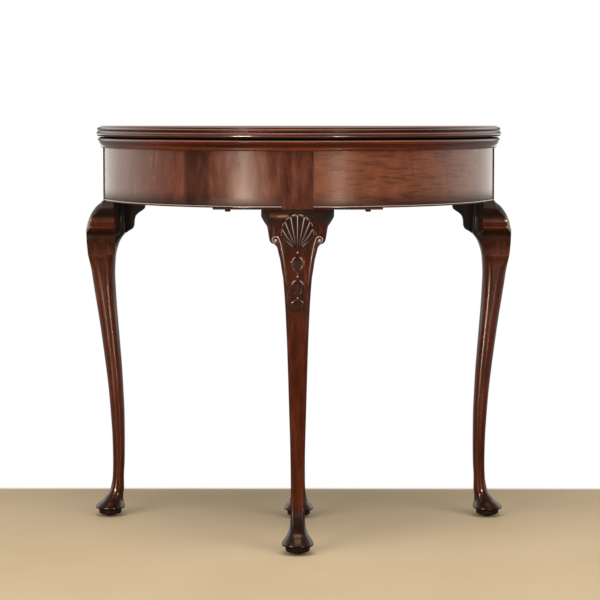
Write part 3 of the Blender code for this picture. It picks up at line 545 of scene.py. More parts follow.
# Legs. The solids' shares drawn through with smooth curves, the knee's brow a little fuller
legShape = {
    # level, outer face, inner face, half width, corner, from the block to the ankle
    "rows": (
        (1.000, 0.00, 0.00, 1.00, 0.03), (0.990, 0.30, 0.00, 1.00, 0.04),
        (0.974, 0.57, 0.00, 1.00, 0.05), (0.956, 0.77, 0.00, 1.00, 0.07),
        (0.935, 0.92, 0.00, 1.00, 0.08), (0.919, 0.98, 0.00, 1.00, 0.08),
        (0.909, 1.00, 0.00, 1.00, 0.08), (0.897, 0.99, 0.04, 1.00, 0.10),
        (0.886, 0.98, 0.21, 1.00, 0.12), (0.872, 0.97, 0.38, 1.00, 0.14),
        (0.855, 0.94, 0.50, 1.00, 0.17), (0.835, 0.90, 0.60, 1.00, 0.20),
        (0.808, 0.83, 0.65, 0.92, 0.24), (0.775, 0.74, 0.67, 0.86, 0.27),
        (0.735, 0.63, 0.64, 0.80, 0.29), (0.680, 0.46, 0.58, 0.74, 0.30),
        (0.615, 0.26, 0.48, 0.68, 0.31), (0.545, 0.07, 0.37, 0.63, 0.31),
        (0.475, -0.11, 0.26, 0.585, 0.31), (0.400, -0.28, 0.18, 0.54, 0.31),
        (0.325, -0.40, 0.12, 0.49, 0.30), (0.250, -0.49, 0.11, 0.46, 0.30),
        (0.175, -0.52, 0.13, 0.445, 0.31), (0.125, -0.49, 0.18, 0.448, 0.33),
    ),
    # foot: height, radius, way from the ankle's centre to the foot's
    "foot": (
        (0.82, 0.462, 0.12), (0.66, 0.500, 0.28), (0.53, 0.585, 0.46), (0.42, 0.705, 0.66),
        (0.33, 0.850, 0.84), (0.27, 0.945, 0.96), (0.235, 0.990, 1.00), (0.205, 1.000, 1.00),
        (0.178, 0.965, 1.00), (0.160, 0.860, 1.00), (0.150, 0.800, 1.00), (0.125, 0.780, 1.00),
        (0.040, 0.765, 1.00), (0.012, 0.740, 1.00), (0.000, 0.690, 1.00),
    ),
    "flareHeight": 0.065,
    "soleHeight": 0.005,
    "footRadius": 0.028,
    "footInset": 0.0098,
    "footRound": 0.99,
    "scuffedTo": 0.034,
    "frontScuffedTo": 0.064,
    "scuffFade": 0.025,
    # the whole front leg is made a little darker and its polish a little duller
    "frontAged": 0.12,
    "unpolishedFrom": 0.548,
    "unpolishedWithin": 0.010,   # inwards of a side leg's centre line
    "veneerDeep": 0.003,         # from the block's front face
    "veneerFacing": -0.7,        # only faces turned this far to the front
    "carvedFacing": (0.25, 0.7),  # how squarely wood faces out, from no carving to all of it
    "faceShare": 0.9,            # the side legs' blocks are set in from here outwards
    "footDark": 0.66,
    # painted shade on the knees, darkest under the apron, comes in over these levels, and goes again where
    # it is negative
    "carvedGrime": ((0.505, 0.550, 0.42), (0.570, 0.604, 0.78)),
    "plainGrime": ((0.505, 0.545, 0.66), (0.555, 0.559, -0.66), (0.570, 0.584, 0.82)),
    # painted shade is left off one patch left of the shell, so its polish shows the lamps
    "clearAcross": ((-0.054, -0.044), (-0.010, -0.020)),
    "clearLevels": ((0.5895, 0.5955), (0.6025, 0.6005)),
    "clearShare": 0.80,
    "plainCorner": 3.0,          # the plain legs are rounder than the carved one
    "roundest": 0.95,
    "sideInset": 0.0036,
    "earCorner": 0.006,          # corner share beside the ears, which leave no groove
    "earFoot": (0.470, 0.512),
    "faceSteps": 26,
    "carvedFaceSteps": 112,
    "sideSteps": 14,
    "cornerSteps": 8,
    "blockRows": 12,
    "footRows": 70,
    "rowStep": 0.0028,
    "carvedRows": (0.42, 0.0005),    # closer rows down to this level, and their step
    "plainRows": (0.48, 0.0012),
    # where each stretch of rows ends or begins, over the level that it is named for
    "rowGaps": {"blockEnd": 0.0004, "kneeStart": -0.0002, "shankEnd": 0.01, "footStart": 0.008,
                "soleEnd": 0.0001},
}


def legTable():
    rows = np.array(legShape["rows"])
    foot = np.array(legShape["foot"])
    outer = blockDepth + rows[:, 1] * kneeOverhang
    inner = -blockDepth + rows[:, 2] * kneeOverhang
    sole = legShape["soleHeight"]
    ankle = (outer[-1] + inner[-1]) / 2
    drift = ankle + foot[:, 2] * (blockDepth - legShape["footInset"] - ankle)
    size = foot[:, 1] * legShape["footRadius"]
    footRound = legShape["footRound"]
    return {
        "level": np.r_[rows[:, 0] * kneeTop, sole + foot[:, 0] * (legShape["flareHeight"] - sole)],
        "width": np.r_[rows[:, 3] * blockHalf, size],
        "corner": np.r_[rows[:, 4], footRound - foot[:, 0] * (footRound - rows[-1, 4])],
        "outer": np.r_[outer, drift + size],
        "inner": np.r_[inner, drift - size],
    }


table = legTable()
kneeTip = table["level"][int(np.argmax(table["outer"][:len(legShape["rows"])]))]


def legValue(name, level):
    return throughPoints(level, table["level"], table[name])


def faceDrop(across, setback):
    # how far a block's face lies inside the apron's full radius: round in front, flat at the sides
    if setback > 0:
        return np.full_like(across, -legShape["sideInset"])
    return np.sqrt(apronRadius ** 2 - across ** 2) - apronRadius


def kneeFace(level, carved):
    # outer face; the carved knee is cut back so that its crests stay where the plain knee was
    face = legValue("outer", level)
    if carved:
        face = face - carving["sink"] * easeBetween(level, *carving["sinkLevels"])
    return face


def kneeShade(level, across, carved):
    # painted shade: the plain knees are dark above their swelling, under the apron, and under its lower
    # edge, which faces down; the swelling stays clear
    rows = legShape["carvedGrime" if carved else "plainGrime"]
    paintedShade = sum(dark * easeStep(level, start, end) for start, end, dark in rows)
    if carved:
        clear = easeBetween(across, *legShape["clearAcross"])
        clear = clear * easeBetween(level, *legShape["clearLevels"])
        paintedShade = paintedShade * (1 - legShape["clearShare"] * clear)
    return paintedShade * (level < kneeTop)


def unitRing(faceSteps, sideSteps, cornerSteps):
    # one turn round a rounded square: rows of x, y, corner angle, and 1 on a corner or 0 on a side
    parts = []
    sides = ((1, 1, 90, 0, faceSteps), (1, -1, 0, -90, sideSteps),
             (-1, -1, -90, -180, faceSteps), (-1, 1, 180, 90, sideSteps))
    x, y = -1, 1
    for sx, sy, start, end, steps in sides:
        for t in np.linspace(0, 1, steps, endpoint=False)[1:]:
            parts.append((x + (sx - x) * t, y + (sy - y) * t, start, 0.0))
        for t in np.linspace(0, 1, cornerSteps):
            parts.append((sx, sy, start + (end - start) * t, 1.0))
        x, y = sx, sy
    return np.array(parts)


def ringPoints(unit, width, depth, corner, outerCorner):
    # rows of (across, out) for rings of these half sizes and corner shares
    width, depth, corner, outerCorner = (v[:, None] for v in (width, depth, corner, outerCorner))
    x, y, angle, bent = (unit[None, :, i] for i in range(4))
    corner = np.where(y > 0, outerCorner, corner)
    a = np.radians(angle)
    across = width * ((1 - corner) * x + corner * np.cos(a) * bent)
    out = depth * ((1 - corner) * y + corner * np.sin(a) * bent)
    # points on a straight side lie on the full half size
    out = np.where((bent < 1) & (np.abs(y) == 1), depth * y, out)
    across = np.where((bent < 1) & (np.abs(x) == 1), width * x, across)
    return across, out


def surfaceNormals(rows):
    # outward normals of closed rows of points that run from the top down
    around = np.roll(rows, -1, axis=1) - np.roll(rows, 1, axis=1)
    down = np.empty_like(rows)
    down[1:-1] = rows[2:] - rows[:-2]
    down[0] = rows[1] - rows[0]
    down[-1] = rows[-1] - rows[-2]
    normal = np.cross(down, around)
    return normal / np.maximum(np.linalg.norm(normal, axis=2, keepdims=True), 1e-12)


# Carving on the front knee, as heights above the plain wood, seen square from the front
carving = {
    "sink": 0.0024,
    "sinkLevels": ((0.480, 0.530), (0.600, 0.570)),
    # strength of the painted highlights on the carving's crests
    "rubbed": 0.80,
    "fanFoot": 0.5338,        # level the flutes spread from
    "tipReach": 0.0062,       # from there to the shell's lower tip
    "fanAngle": 44.0,         # half angle of the fan, degrees
    "ribBow": 0.22,           # how far the ribs start inwards of a straight fan
    # ways out from the fan's foot, over which the bow goes and the flutes come to full depth
    "bowOver": (0.006, 0.036),
    "deepOver": (0.005, 0.020),
    "leastDepth": 0.30,
    "archCentre": 0.0372,     # from the fan's foot to the middle of the arched top
    "archRadius": 0.0288,
    "halfFlutes": 4,
    "lobe": 0.0020,
    "shellRise": 0.0015,
    "ridge": 0.0015,
    "hollow": 0.0022,
    "rimOver": (0.0030, 0.0008),      # ways in from the rim, over which the flutes run out
    "shellEdge": (-0.0004, 0.0010),   # ways in from its edge, over which the shell rises
    "outline": 0.0016,                # depth of the sunk line round the shell
    "outlineAt": -0.0012,             # outside the shell's edge
    "outlineWidth": 0.0009,
    "outlineFrom": -0.004,            # lowest height, over the fan's foot
    "eye": (0.0383, 0.5562),
    "eyeSize": 0.0026,
    "eyeRise": 0.0022,
    "scrollRadius": 0.0076,
    "scrollTurns": 1.15,
    "scrollSteps": 44,
    "bandRise": 0.0019,
    "bandWidth": 0.0014,
    "bandFade": (0.345, 0.43),
    # over these levels the band gets thicker, higher and its painted highlight brighter
    "bandThick": (0.50, 0.56),
    "bandHigh": (0.50, 0.555),
    "bandBright": (0.50, 0.550),
    "grooveDepth": 0.0011,
    "grooveTo": 0.566,
    "grooveAt": 2.1,          # from the band's middle, in band widths, as is the groove's width
    "grooveWidth": 0.7,
    "edgeLine": (
        (0.0309, 0.5560), (0.0288, 0.5500), (0.0266, 0.5390), (0.0240, 0.5220),
        (0.0210, 0.5000), (0.0184, 0.4770), (0.0168, 0.4530), (0.0157, 0.4300), (0.0147, 0.4000),
        (0.0139, 0.3700), (0.0132, 0.3400),
    ),
    "leafLine": ((0.0296, 0.5760), (0.0312, 0.5712), (0.0340, 0.5672), (0.0385, 0.5655)),
    "leafRise": 0.0014,
    "leafWidth": 0.0012,
    "beads": ((0.5350, 0.0026), (0.4934, 0.0025), (0.4989, 0.0013), (0.4556, 0.0021)),
    # the ring round a bead is painted shade
    "beadShade": 0.0006,      # width of the dark ring round a bead
    # top, length and strength of each bellflower
    "husks": ((0.5278, 0.0290, 1.0), (0.4872, 0.0295, 0.9), (0.4520, 0.0200, 0.35)),
    "huskWidth": 0.0090,
    "huskRim": 0.0024,
    "huskRimWidth": 0.0014,
    "huskHollow": 0.0016,
    "huskTop": (-0.0012, 0.0003),
    "huskFoot": (-0.0010, 0.0012),
    "huskEdge": (0.0002, 0.0018),
    "hood": (0.10, 0.10),     # place and spread, as shares of the length
    "parting": (0.38, 0.0009),    # place, as a share of the half width, and width
    # painted shade darkens the ground round the lowest bellflowers
    "mattedLevels": ((0.428, 0.434), (0.515, 0.470)),
    "mattedAcross": (0.0128, 0.0110),
}


def distanceTo(path, u, z):
    best = np.full(u.shape, 1.0)
    for (u0, z0), (u1, z1) in zip(path, path[1:]):
        du = u1 - u0
        dz = z1 - z0
        t = np.clip(((u - u0) * du + (z - z0) * dz) / (du * du + dz * dz), 0, 1)
        best = np.minimum(best, np.hypot(u - u0 - t * du, z - z0 - t * dz))
    return best


def shellForm(u, z):
    # scallop shell: hollow flutes between sharp ribs, a lobed rim and a sunk outline, with painted shade in
    # the flutes and outline and a painted highlight on the crests
    c = carving
    up = z - c["fanFoot"]
    reach = np.hypot(u, up)
    angle = np.arctan2(np.abs(u), up)
    limit = math.radians(c["fanAngle"])
    held = np.minimum(angle, limit)
    inside = np.maximum(c["archRadius"] ** 2 - (c["archCentre"] * np.sin(held)) ** 2, 0)
    top = c["archCentre"] * np.cos(held) + np.sqrt(inside)
    spread = easeStep(reach, *c["bowOver"])
    place = angle / limit / (1 - c["ribBow"] * (1 - spread)) * c["halfFlutes"]
    place = np.minimum(place, c["halfFlutes"])
    side = np.abs(2 * (place - np.floor(place)) - 1)
    inRim = top - c["lobe"] * side ** 3 - reach
    edge = (up - np.sqrt((u / math.tan(limit)) ** 2 + c["tipReach"] ** 2)) * math.sin(limit)
    depthIn = np.minimum(inRim, edge)
    depth = c["leastDepth"] + (1 - c["leastDepth"]) * easeStep(reach, *c["deepOver"])
    flute = (c["ridge"] * side ** 3 - c["hollow"] * (1 - side ** 2)) * depth
    rim = easeStep(inRim, *c["rimOver"])
    flute = flute * (1 - rim) + c["ridge"] * rim * (1 - 0.5 * side)
    within = easeStep(depthIn, *c["shellEdge"])
    body = (c["shellRise"] + flute) * within
    line = np.exp(-((depthIn - c["outlineAt"]) / c["outlineWidth"]) ** 2) * (up > c["outlineFrom"])
    shade = np.maximum(within * (1 - side ** 1.4) * (1 - rim) * depth, 0.9 * line)
    crest = within * np.maximum(side ** 11 * (1 - rim), 0.5 * rim * (1 - side)) * depth
    return body - c["outline"] * line * (1 - within), np.clip(shade, 0, 1), crest, within


def scrollPath():
    # up along the knee's edge, then round the scroll's eye
    path = list(carving["edgeLine"])[::-1]
    eyeU, eyeZ = carving["eye"]
    for t in np.linspace(0, 1, carving["scrollSteps"] + 1):
        a = 2 * math.pi * carving["scrollTurns"] * t
        r = carving["scrollRadius"] * (1 - 0.80 * t ** 0.8)
        path.append((eyeU - r * math.cos(a), eyeZ + r * math.sin(a)))
    return path


def huskForm(u, z, top, length):
    # bellflower: a raised hood over a hollow of three petals, with painted shade in the hollow and a
    # painted highlight on the hood
    c = carving
    s = np.clip((top - z) / length, 0, 1)
    half = c["huskWidth"] * np.sin(math.pi * s ** 0.72) ** 0.62
    off = np.abs(u) - half
    here = easeStep(top - z, *c["huskTop"]) * easeStep(z - top + length, *c["huskFoot"])
    rim = np.exp(-(off / c["huskRimWidth"]) ** 2) * (1 - s) ** 1.3
    within = easeStep(-off, *c["huskEdge"])
    # two grooves part the three petals
    share, width = c["parting"]
    parting = np.exp(-((np.abs(u) - share * half) / width) ** 2) * easeStep(s, 0.10, 0.30)
    place, spread = c["hood"]
    hood = np.exp(-((s - place) / spread) ** 2) * (np.abs(u) < half)
    hollow = within * (1 - 0.6 * s) * (0.35 + 0.65 * parting)
    height = (c["huskRim"] * np.maximum(rim, 0.8 * hood) - c["huskHollow"] * hollow * (1 - hood)) * here
    shade = within * (0.80 + 0.20 * parting) * (1 - 0.15 * s) * (1 - hood) * here
    bright = rim ** 2 * easeStep(s, 0.42, 0.12) * easeStep(s, 0.0, 0.04) * here
    return height, shade, bright


def carvedForm(u, z):
    # height above the plain surface, and painted shade in its hollows, negative for painted highlights on
    # its crests
    c = carving
    shell, shade, crest, onShell = shellForm(u, z)
    mirrored = np.abs(u)
    band = distanceTo(scrollPath(), mirrored, z)
    fade = easeStep(z, *c["bandFade"])
    thick = c["bandWidth"] * (0.70 + 0.30 * easeStep(z, *c["bandThick"]))
    scroll = c["bandRise"] * fade * (0.70 + 0.30 * easeStep(z, *c["bandHigh"]))
    scroll = scroll * np.exp(-(band / thick) ** 4)
    # painted highlight along the scroll band's ridge, brighter low on the knee
    ridge = np.exp(-(band / (0.45 * thick)) ** 2) * fade * (1 - onShell)
    crest = np.maximum(crest, ridge * (0.15 + 0.40 * easeStep(z, *c["bandBright"])))
    groove = np.exp(-((band - c["grooveAt"] * thick) / (c["grooveWidth"] * thick)) ** 2) * fade
    groove = groove * (1 - onShell) * (z < c["grooveTo"])
    leaf = np.exp(-(distanceTo(c["leafLine"], mirrored, z) / c["leafWidth"]) ** 4)
    leaf = c["leafRise"] * leaf
    eye = np.hypot(mirrored - c["eye"][0], z - c["eye"][1]) / c["eyeSize"]
    eye = np.sqrt(np.clip(1 - eye ** 2, 0, 1))
    height = shell - c["grooveDepth"] * groove
    for raised in (scroll, leaf, c["eyeRise"] * eye):
        height = np.maximum(height, raised)
    shadedGround = easeBetween(z, *c["mattedLevels"]) * easeStep(mirrored, *c["mattedAcross"])
    # painted shade in the groove beside the band and on the ground round the lowest bellflowers
    shade = np.maximum(np.maximum(shade, 0.75 * groove), 0.55 * shadedGround)
    for top, length, strength in c["husks"]:
        rise, dark, hood = huskForm(u, z, top, length)
        height = height + rise * strength
        shade = np.maximum(shade, 0.9 * dark * min(1, strength + 0.3))
        crest = np.maximum(crest, 0.8 * hood * strength)
    # painted highlight on each bead's top and painted shade in a ring round it
    for level, radius in c["beads"]:
        off = np.hypot(u, z - level)
        bead = np.sqrt(np.clip(radius ** 2 - off ** 2, 0, None))
        crest = np.maximum(crest, 0.6 * easeStep(bead / radius, 0.7, 0.95))
        ring = (off - radius - c["beadShade"]) / c["beadShade"]
        shade = np.maximum(shade, 0.8 * np.exp(-ring ** 2))
        shade = np.where(bead > 0, 0, shade)
        height = np.maximum(height, 0.95 * bead)
    shade = shade * (1 - np.clip(scroll / c["bandRise"], 0, 1))
    crest = c["rubbed"] * np.maximum(crest, 0.8 * easeStep(eye, 0.7, 1.0))
    return height, np.where(crest > 0.04, -crest, shade)


def carve(across, out, level, wax, turned, columns=None):
    # lifts the carving off the plain surface; an ear has it on its first columns only
    local = np.stack([across, -out, level], axis=-1)
    normal = surfaceNormals(local)
    facing = easeStep(-normal[..., 1], *turned) * (level < carvedBelow)
    if columns:
        facing[:, columns:] = 0
        facing[:, 0] = facing[:, 1]
        normal[:, 0] = normal[:, 1]
    rise, shade = carvedForm(across, level)
    shade = shade * facing
    local = local + normal * (rise * facing)[..., None]
    local[..., 1] = np.maximum(local[..., 1], -blockDepth - kneeOverhang)
    if columns:
        local[:, 0, 0] = blockHalf
    # the carving's painted shade joins the rest, and its painted highlights stand where negative
    wax = np.where(shade < 0, shade, np.maximum(wax, shade))
    return local[..., 0], -local[..., 1], local[..., 2], wax


def legRows(top, carved):
    # levels from the top of the block to the sole, closer together where there is carving;
    # the stretches start a little apart, so that no two rows meet
    kneeEnd, step = legShape["carvedRows" if carved else "plainRows"]
    flare, sole, gaps = (legShape[name] for name in ("flareHeight", "soleHeight", "rowGaps"))
    block = np.linspace(top, kneeTop + gaps["blockEnd"], legShape["blockRows"])
    knee = np.arange(kneeTop + gaps["kneeStart"], kneeEnd, -step)
    shank = np.arange(kneeEnd, flare + gaps["shankEnd"], -legShape["rowStep"])
    foot = np.linspace(flare + gaps["footStart"], sole + gaps["soleEnd"], legShape["footRows"])
    return np.r_[block, knee, shank, foot]


def worldPoints(x, out, level, at, turn):
    # from a leg's own frame, outwards along -Y, to the table's
    cos = math.cos(turn)
    sin = math.sin(turn)
    return np.stack([at[0] + x * cos + out * sin, at[1] + x * sin - out * cos, level], axis=-1)


def makeLeg(mark, at, turn, setback, mirror=False, top=railTop):
    shape = legShape
    carved = mark == "front"
    steps = shape["carvedFaceSteps" if carved else "faceSteps"]
    unit = unitRing(steps, shape["sideSteps"], shape["cornerSteps"])
    levels = legRows(top, carved)
    held = np.minimum(levels, kneeTop)
    outer = kneeFace(held, carved)
    behind = legValue("inner", held)
    depth = (outer - behind) / 2
    corner = legValue("corner", held)
    if not carved:
        # the feet are rounder than this already
        corner = np.maximum(corner, np.minimum(corner * shape["plainCorner"], shape["roundest"]))
    tight = shape["earCorner"]
    outerCorner = tight + (corner - tight) * (1 - easeStep(levels, *shape["earFoot"]))
    across, out = ringPoints(unit, legValue("width", held), depth, corner, outerCorner)
    level = np.repeat(levels[:, None], across.shape[1], axis=1)
    if setback is not None:
        share = np.clip((level - kneeTip) / (kneeTop - kneeTip), 0, 1)
        inner = shape["faceShare"]
        front = np.clip((out / depth[:, None] - inner) / (1 - inner), 0, 1)
        out = out + share * front * faceDrop(across, setback)
    out = out + ((outer + behind) / 2)[:, None]
    # the feet have gone dark with floor polish
    scuffed = shape["frontScuffedTo" if carved else "scuffedTo"]
    wax = shape["footDark"] * (1 - easeStep(level, scuffed, scuffed + shape["scuffFade"]))
    # painted shade on the knees
    wax = wax + kneeShade(level, across, carved)
    if carved:
        wax = wax + shape["frontAged"]
        across, out, level, wax = carve(across, out, level, wax, shape["carvedFacing"])
    rows = worldPoints(-across if mirror else across, out, level, at, turn)
    # each leg is cut from another stretch of the wood
    grain = np.stack([level + at[0] * 3.1 + 0.7, across + at[1], out], axis=-1)
    if mirror:
        rows, grain, wax = rows[:, ::-1], grain[:, ::-1], wax[:, ::-1]
    mesh = skin(rows, grain, wax)
    addPiece(mark + "_leg", mesh, "leg")
    # below the ankle the polish is scuffed, behind the side knees there is none and the
    # near-black finish there is painted shade, and veneer runs on across the front block's face
    for finish in ("foot", "inner", "veneerBlock"):
        mesh.materials.append(finishes[finish])
    face = at[1] - blockDepth + shape["veneerDeep"]
    within = abs(at[0]) - shape["unpolishedWithin"]
    for f in mesh.polygons:
        if f.center.z < scuffed:
            f.material_index = 1
        elif f.center.z > shape["unpolishedFrom"] and abs(f.center.x) < within:
            f.material_index = 2
        elif carved and f.center.z > kneeTop and f.center.y < face:
            if f.normal.y < shape["veneerFacing"]:
                f.material_index = 3


# Ears. Outline as in the solids: reach from the block at shares of the height below the rail
earShape = {
    "outline": (
        (0.00, 1.00), (0.11, 1.00), (0.19, 0.90), (0.23, 0.82), (0.29, 0.70), (0.36, 0.66),
        (0.42, 0.63), (0.53, 0.56), (0.56, 0.48), (0.595, 0.30), (0.63, 0.22), (0.70, 0.17),
        (0.86, 0.06), (1.00, 0.00),
    ),
    "reach": 0.0362,
    "least": 0.004,
    "height": 0.1042,
    "lastRow": 0.995,                  # share of the height, just short of the pointed foot
    "arris": 0.0010,
    "carvedFacing": (0.2, 0.6),
    "carvedPast": 4,                   # columns of the arris that are carved like the face
    "lip": (0.490, 0.085, 0.0034),     # the side ears swell above their lower step
    "rows": 110,
    "carvedRows": 210,
    "frontSteps": 18,
    "carvedFrontSteps": 74,
    "arrisSteps": 6,
    "endSteps": 12,
    "backSteps": 8,
}


def makeEar(mark, end, at, turn, setback, side):
    ear = earShape
    carved = mark == "front"
    rowCount, frontSteps = ((ear["carvedRows"], ear["carvedFrontSteps"]) if carved
                            else (ear["rows"], ear["frontSteps"]))
    outline = np.array(ear["outline"])
    shares = np.linspace(0, ear["lastRow"], rowCount)
    levels = railBottom - fit - shares * ear["height"]
    reach = throughPoints(shares, outline[:, 0], outline[:, 1])
    reach = np.maximum(reach, ear["least"]) * ear["reach"]
    if not carved:
        place, spread, lip = ear["lip"]
        reach = reach + lip * np.exp(-((shares - place) / spread) ** 2) * (shares < place + spread)
    reach = reach[:, None]
    arris = np.minimum(ear["arris"], reach * 0.3)
    outerLevel = np.minimum(levels, kneeTop)
    rise = (kneeFace(outerLevel, carved) - blockDepth)[:, None]
    drop = np.clip((levels - kneeTip) / (kneeTop - kneeTip), 0, 1)[:, None]
    inward = np.maximum(blockDepth - earDepth, legValue("inner", outerLevel))[:, None]

    def outAt(across):
        reachShare = np.clip((across - blockHalf) / ear["reach"], 0, 1)
        fall = drop + (1 - drop) * reachShare
        flatSide = 0.0 if setback is None else faceDrop(across, setback)
        return blockDepth + rise * (1 - reachShare ** 4) + fall * flatSide

    # front face, softened arris, end and back, each as (across, out)
    tip = blockHalf + reach
    t = np.linspace(0, 1, frontSteps)[None, :]
    across = blockHalf + t * (reach - arris)
    a = np.linspace(0, math.pi / 2, ear["arrisSteps"])[None, 1:]
    front = outAt(tip - arris) - arris
    t = np.linspace(0, 1, ear["endSteps"])[None, 1:]
    back = np.linspace(1, 0, ear["backSteps"])[None, 1:]
    columns = (
        (across, outAt(across)),
        (tip - arris + arris * np.sin(a), outAt(tip - arris) - arris * (1 - np.cos(a))),
        (tip + 0 * t, front + t * (inward - front)),
        (blockHalf + back * reach, inward + 0 * back),
    )
    across, out = (np.concatenate(way, axis=1) for way in zip(*columns))
    level = np.repeat(levels[:, None], across.shape[1], axis=1)
    # painted shade on the ears, as on the knees
    wax = kneeShade(level, side * across, carved)
    if carved:
        columns = frontSteps + ear["carvedPast"]
        across, out, level, wax = carve(across, out, level, wax, ear["carvedFacing"], columns)
    rows = worldPoints(side * across, out, level, at, turn)
    grain = np.stack([level + at[0] * 1.7 + side * 0.3, side * across, out], axis=-1)
    addPiece(f"{mark}_ear_{end}", skin(rows, grain, wax), "leg", angle=50)


innerEarShape = {
    "outline": (
        (0.00, 1.00), (0.22, 1.00), (0.29, 0.94), (0.34, 0.83), (0.40, 0.67), (0.46, 0.55),
        (0.53, 0.47), (0.65, 0.43), (0.77, 0.415), (0.88, 0.33), (0.945, 0.14), (1.00, 0.02),
    ),
    "arris": 0.0008,
    "rows": 80,
    # painted shade: the inner ears sit in shadow under the carcase
    "wax": 0.65,
}


def makeInnerEar(mark, side):
    # sawn from a flat board and glued under the back rail
    node = mark + "_ear_inner"
    low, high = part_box(node)
    outline = np.array(innerEarShape["outline"])
    shares = np.linspace(0, earShape["lastRow"], innerEarShape["rows"])
    levels = high[2] - shares * (high[2] - low[2])
    reach = throughPoints(shares, outline[:, 0], outline[:, 1]) * (high[0] - low[0])
    root = high[0] if side > 0 else low[0]
    arris = innerEarShape["arris"]
    columns = []
    for share, y, inset in ((0, low[1], 0), (1, low[1], arris), (1, low[1] + arris, 0),
                            (1, high[1] - arris, 0), (1, high[1], arris), (0, high[1], 0)):
        x = root - side * share * np.maximum(reach - inset, 0)
        columns.append(np.stack([x, np.full_like(x, y), levels], axis=-1))
    rows = np.stack(columns, axis=1)
    mesh = skin(rows, rows[..., [2, 0, 1]], np.full(rows.shape[:2], innerEarShape["wax"]))
    addPiece(node, mesh, "inner", angle=30, name=mark + "InnerEar")


frontAt = (0, backY - blockRadius)
rearAt = (0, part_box("rear_leg")[0][1] + blockDepth)
makeLeg("front", frontAt, 0.0, 0.0)
makeEar("front", "left", frontAt, 0.0, 0.0, -1)
makeEar("front", "right", frontAt, 0.0, 0.0, 1)
for side, mark in ((-1, "left"), (1, "right")):
    legAt = (side * blockRadius, backY - sideSetback)
    turn = math.radians(90 * side)
    makeLeg(mark, legAt, turn, sideSetback, mirror=side > 0)
    makeEar(mark, "front", legAt, turn, sideSetback, -side)
    makeInnerEar(mark, side)
makeLeg("rear", rearAt, math.pi, None, top=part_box("rear_leg")[1][2])
makeEar("rear", "left", rearAt, math.pi, None, 1)
makeEar("rear", "right", rearAt, math.pi, None, -1)
print("legs and ears made")

# Top. Edge sections as (inset from the rim, drop from the upper face)
leafShape = {
    "upper": ((0.0075, 0.0), (0.0070, 0.0005), (0.0070, 0.0024), (0.0066, 0.0027), (0.0046, 0.0027)),
    "smallBead": (0.0014, 0.0036, 0.0027, 0.0055),     # peak inset, root inset, start, height
    "largeBead": (0.0, 0.0036, 0.0097, 0.0093),
    # inset, drop and painted light: painted shade in the gap under the upper leaf and down the hollow, a
    # painted highlight where negative on the arris
    "lower": (
        (0.0050, 0.0, 1.0), (0.0040, 0.0004, 1.0), (0.0026, 0.0009, 0.8), (0.0022, 0.0014, 0.2),
        (0.0013, 0.0021, -0.15), (0.0006, 0.0031, -0.15), (0.0002, 0.0041, 0.0), (0.0, 0.0053, 0.0),
        (0.0005, 0.0066, 0.2), (0.0014, 0.0084, 0.4), (0.0028, 0.0108, 0.4), (0.0038, 0.0126, 0.3),
        (0.0044, 0.0140, 0.0), (0.0047, 0.0162, 0.0), (0.0051, 0.0186, 0.0), (0.0058, 0.0197, 0.3),
    ),
    "lowerFoot": (0.0072, 0.6),        # inset, and painted shade at the lower arris
    # drops between which the upper edge is darkened with painted shade in its grooves and gaps, or
    # lightened with painted highlights where negative
    "worn": ((0.0064, 0.0096, 0.92), (0.0172, 0.0200, 0.92), (0.0010, 0.0028, 0.45),
             (0.0028, 0.0048, -0.10), (0.0048, 0.0064, 0.70), (0.0098, 0.0121, -0.12),
             (0.0121, 0.0138, 0.75), (0.0138, 0.0162, -0.04), (0.0162, 0.0172, 0.75)),
    # the level faces underneath are made darker
    "underWax": 0.3,
    "flatRings": (0.0, 0.25, 0.5, 0.75, 0.9),      # across the level faces, as shares of the rim
    "levelFrom": 0.999,
    "steps": 260,
    "beadSteps": 14,
    "weld": 0.000005,
}


def beadSection(peak, root, start, height):
    section = []
    for a in np.linspace(0, math.pi, leafShape["beadSteps"] + 1):
        inset = root - (root - peak) * max(math.sin(a), 0) ** 0.8
        section.append((inset, start + height * (1 - math.cos(a)) / 2))
    return section


def turnedLeaf(node, section, low, high):
    # half disc: the edge section is swung round the middle of the straight back edge
    steps = leafShape["steps"]
    radius = high[0]
    rim = [(radius - inset, high[2] - drop, wax) for inset, drop, wax in section]
    rings = leafShape["flatRings"]
    inner = [(rim[0][0] * share, rim[0][1], 0.0) for share in rings]
    under = [(rim[-1][0] * share, rim[-1][1], leafShape["underWax"]) for share in rings[::-1]]
    reach, level, wax = (np.repeat(column[:, None], steps + 1, axis=1)
                         for column in np.array(inner + rim + under).T)
    turns = np.linspace(-math.pi, 0, steps + 1)
    x = reach * np.cos(turns)
    y = np.minimum(reach * np.sin(turns), -fit) + backY
    along = np.broadcast_to(turns * radius, x.shape)
    grain = np.stack([along, level, radius - np.hypot(x, y - backY)], axis=-1)
    index = np.arange(x.size).reshape(x.shape)
    back = index[:, 0].tolist() + index[::-1, -1].tolist()
    rows = np.stack([x, y, level], axis=-1)
    mesh = skin(rows, grain, wax, closed=False, extraFaces=[back])
    with editing(mesh) as bm:
        bmesh.ops.remove_doubles(bm, verts=bm.verts, dist=leafShape["weld"])
        bmesh.ops.dissolve_degenerate(bm, edges=bm.edges[:], dist=leafShape["weld"])
        bmesh.ops.recalc_face_normals(bm, faces=bm.faces[:])
    leaf = addPiece(node, mesh, "top", angle=30)
    mesh.materials.append(finishes["edge"])
    edgeFaces = [int(abs(face.normal.z) <= leafShape["levelFrom"]) for face in mesh.polygons]
    mesh.polygons.foreach_set("material_index", edgeFaces)
    return leaf


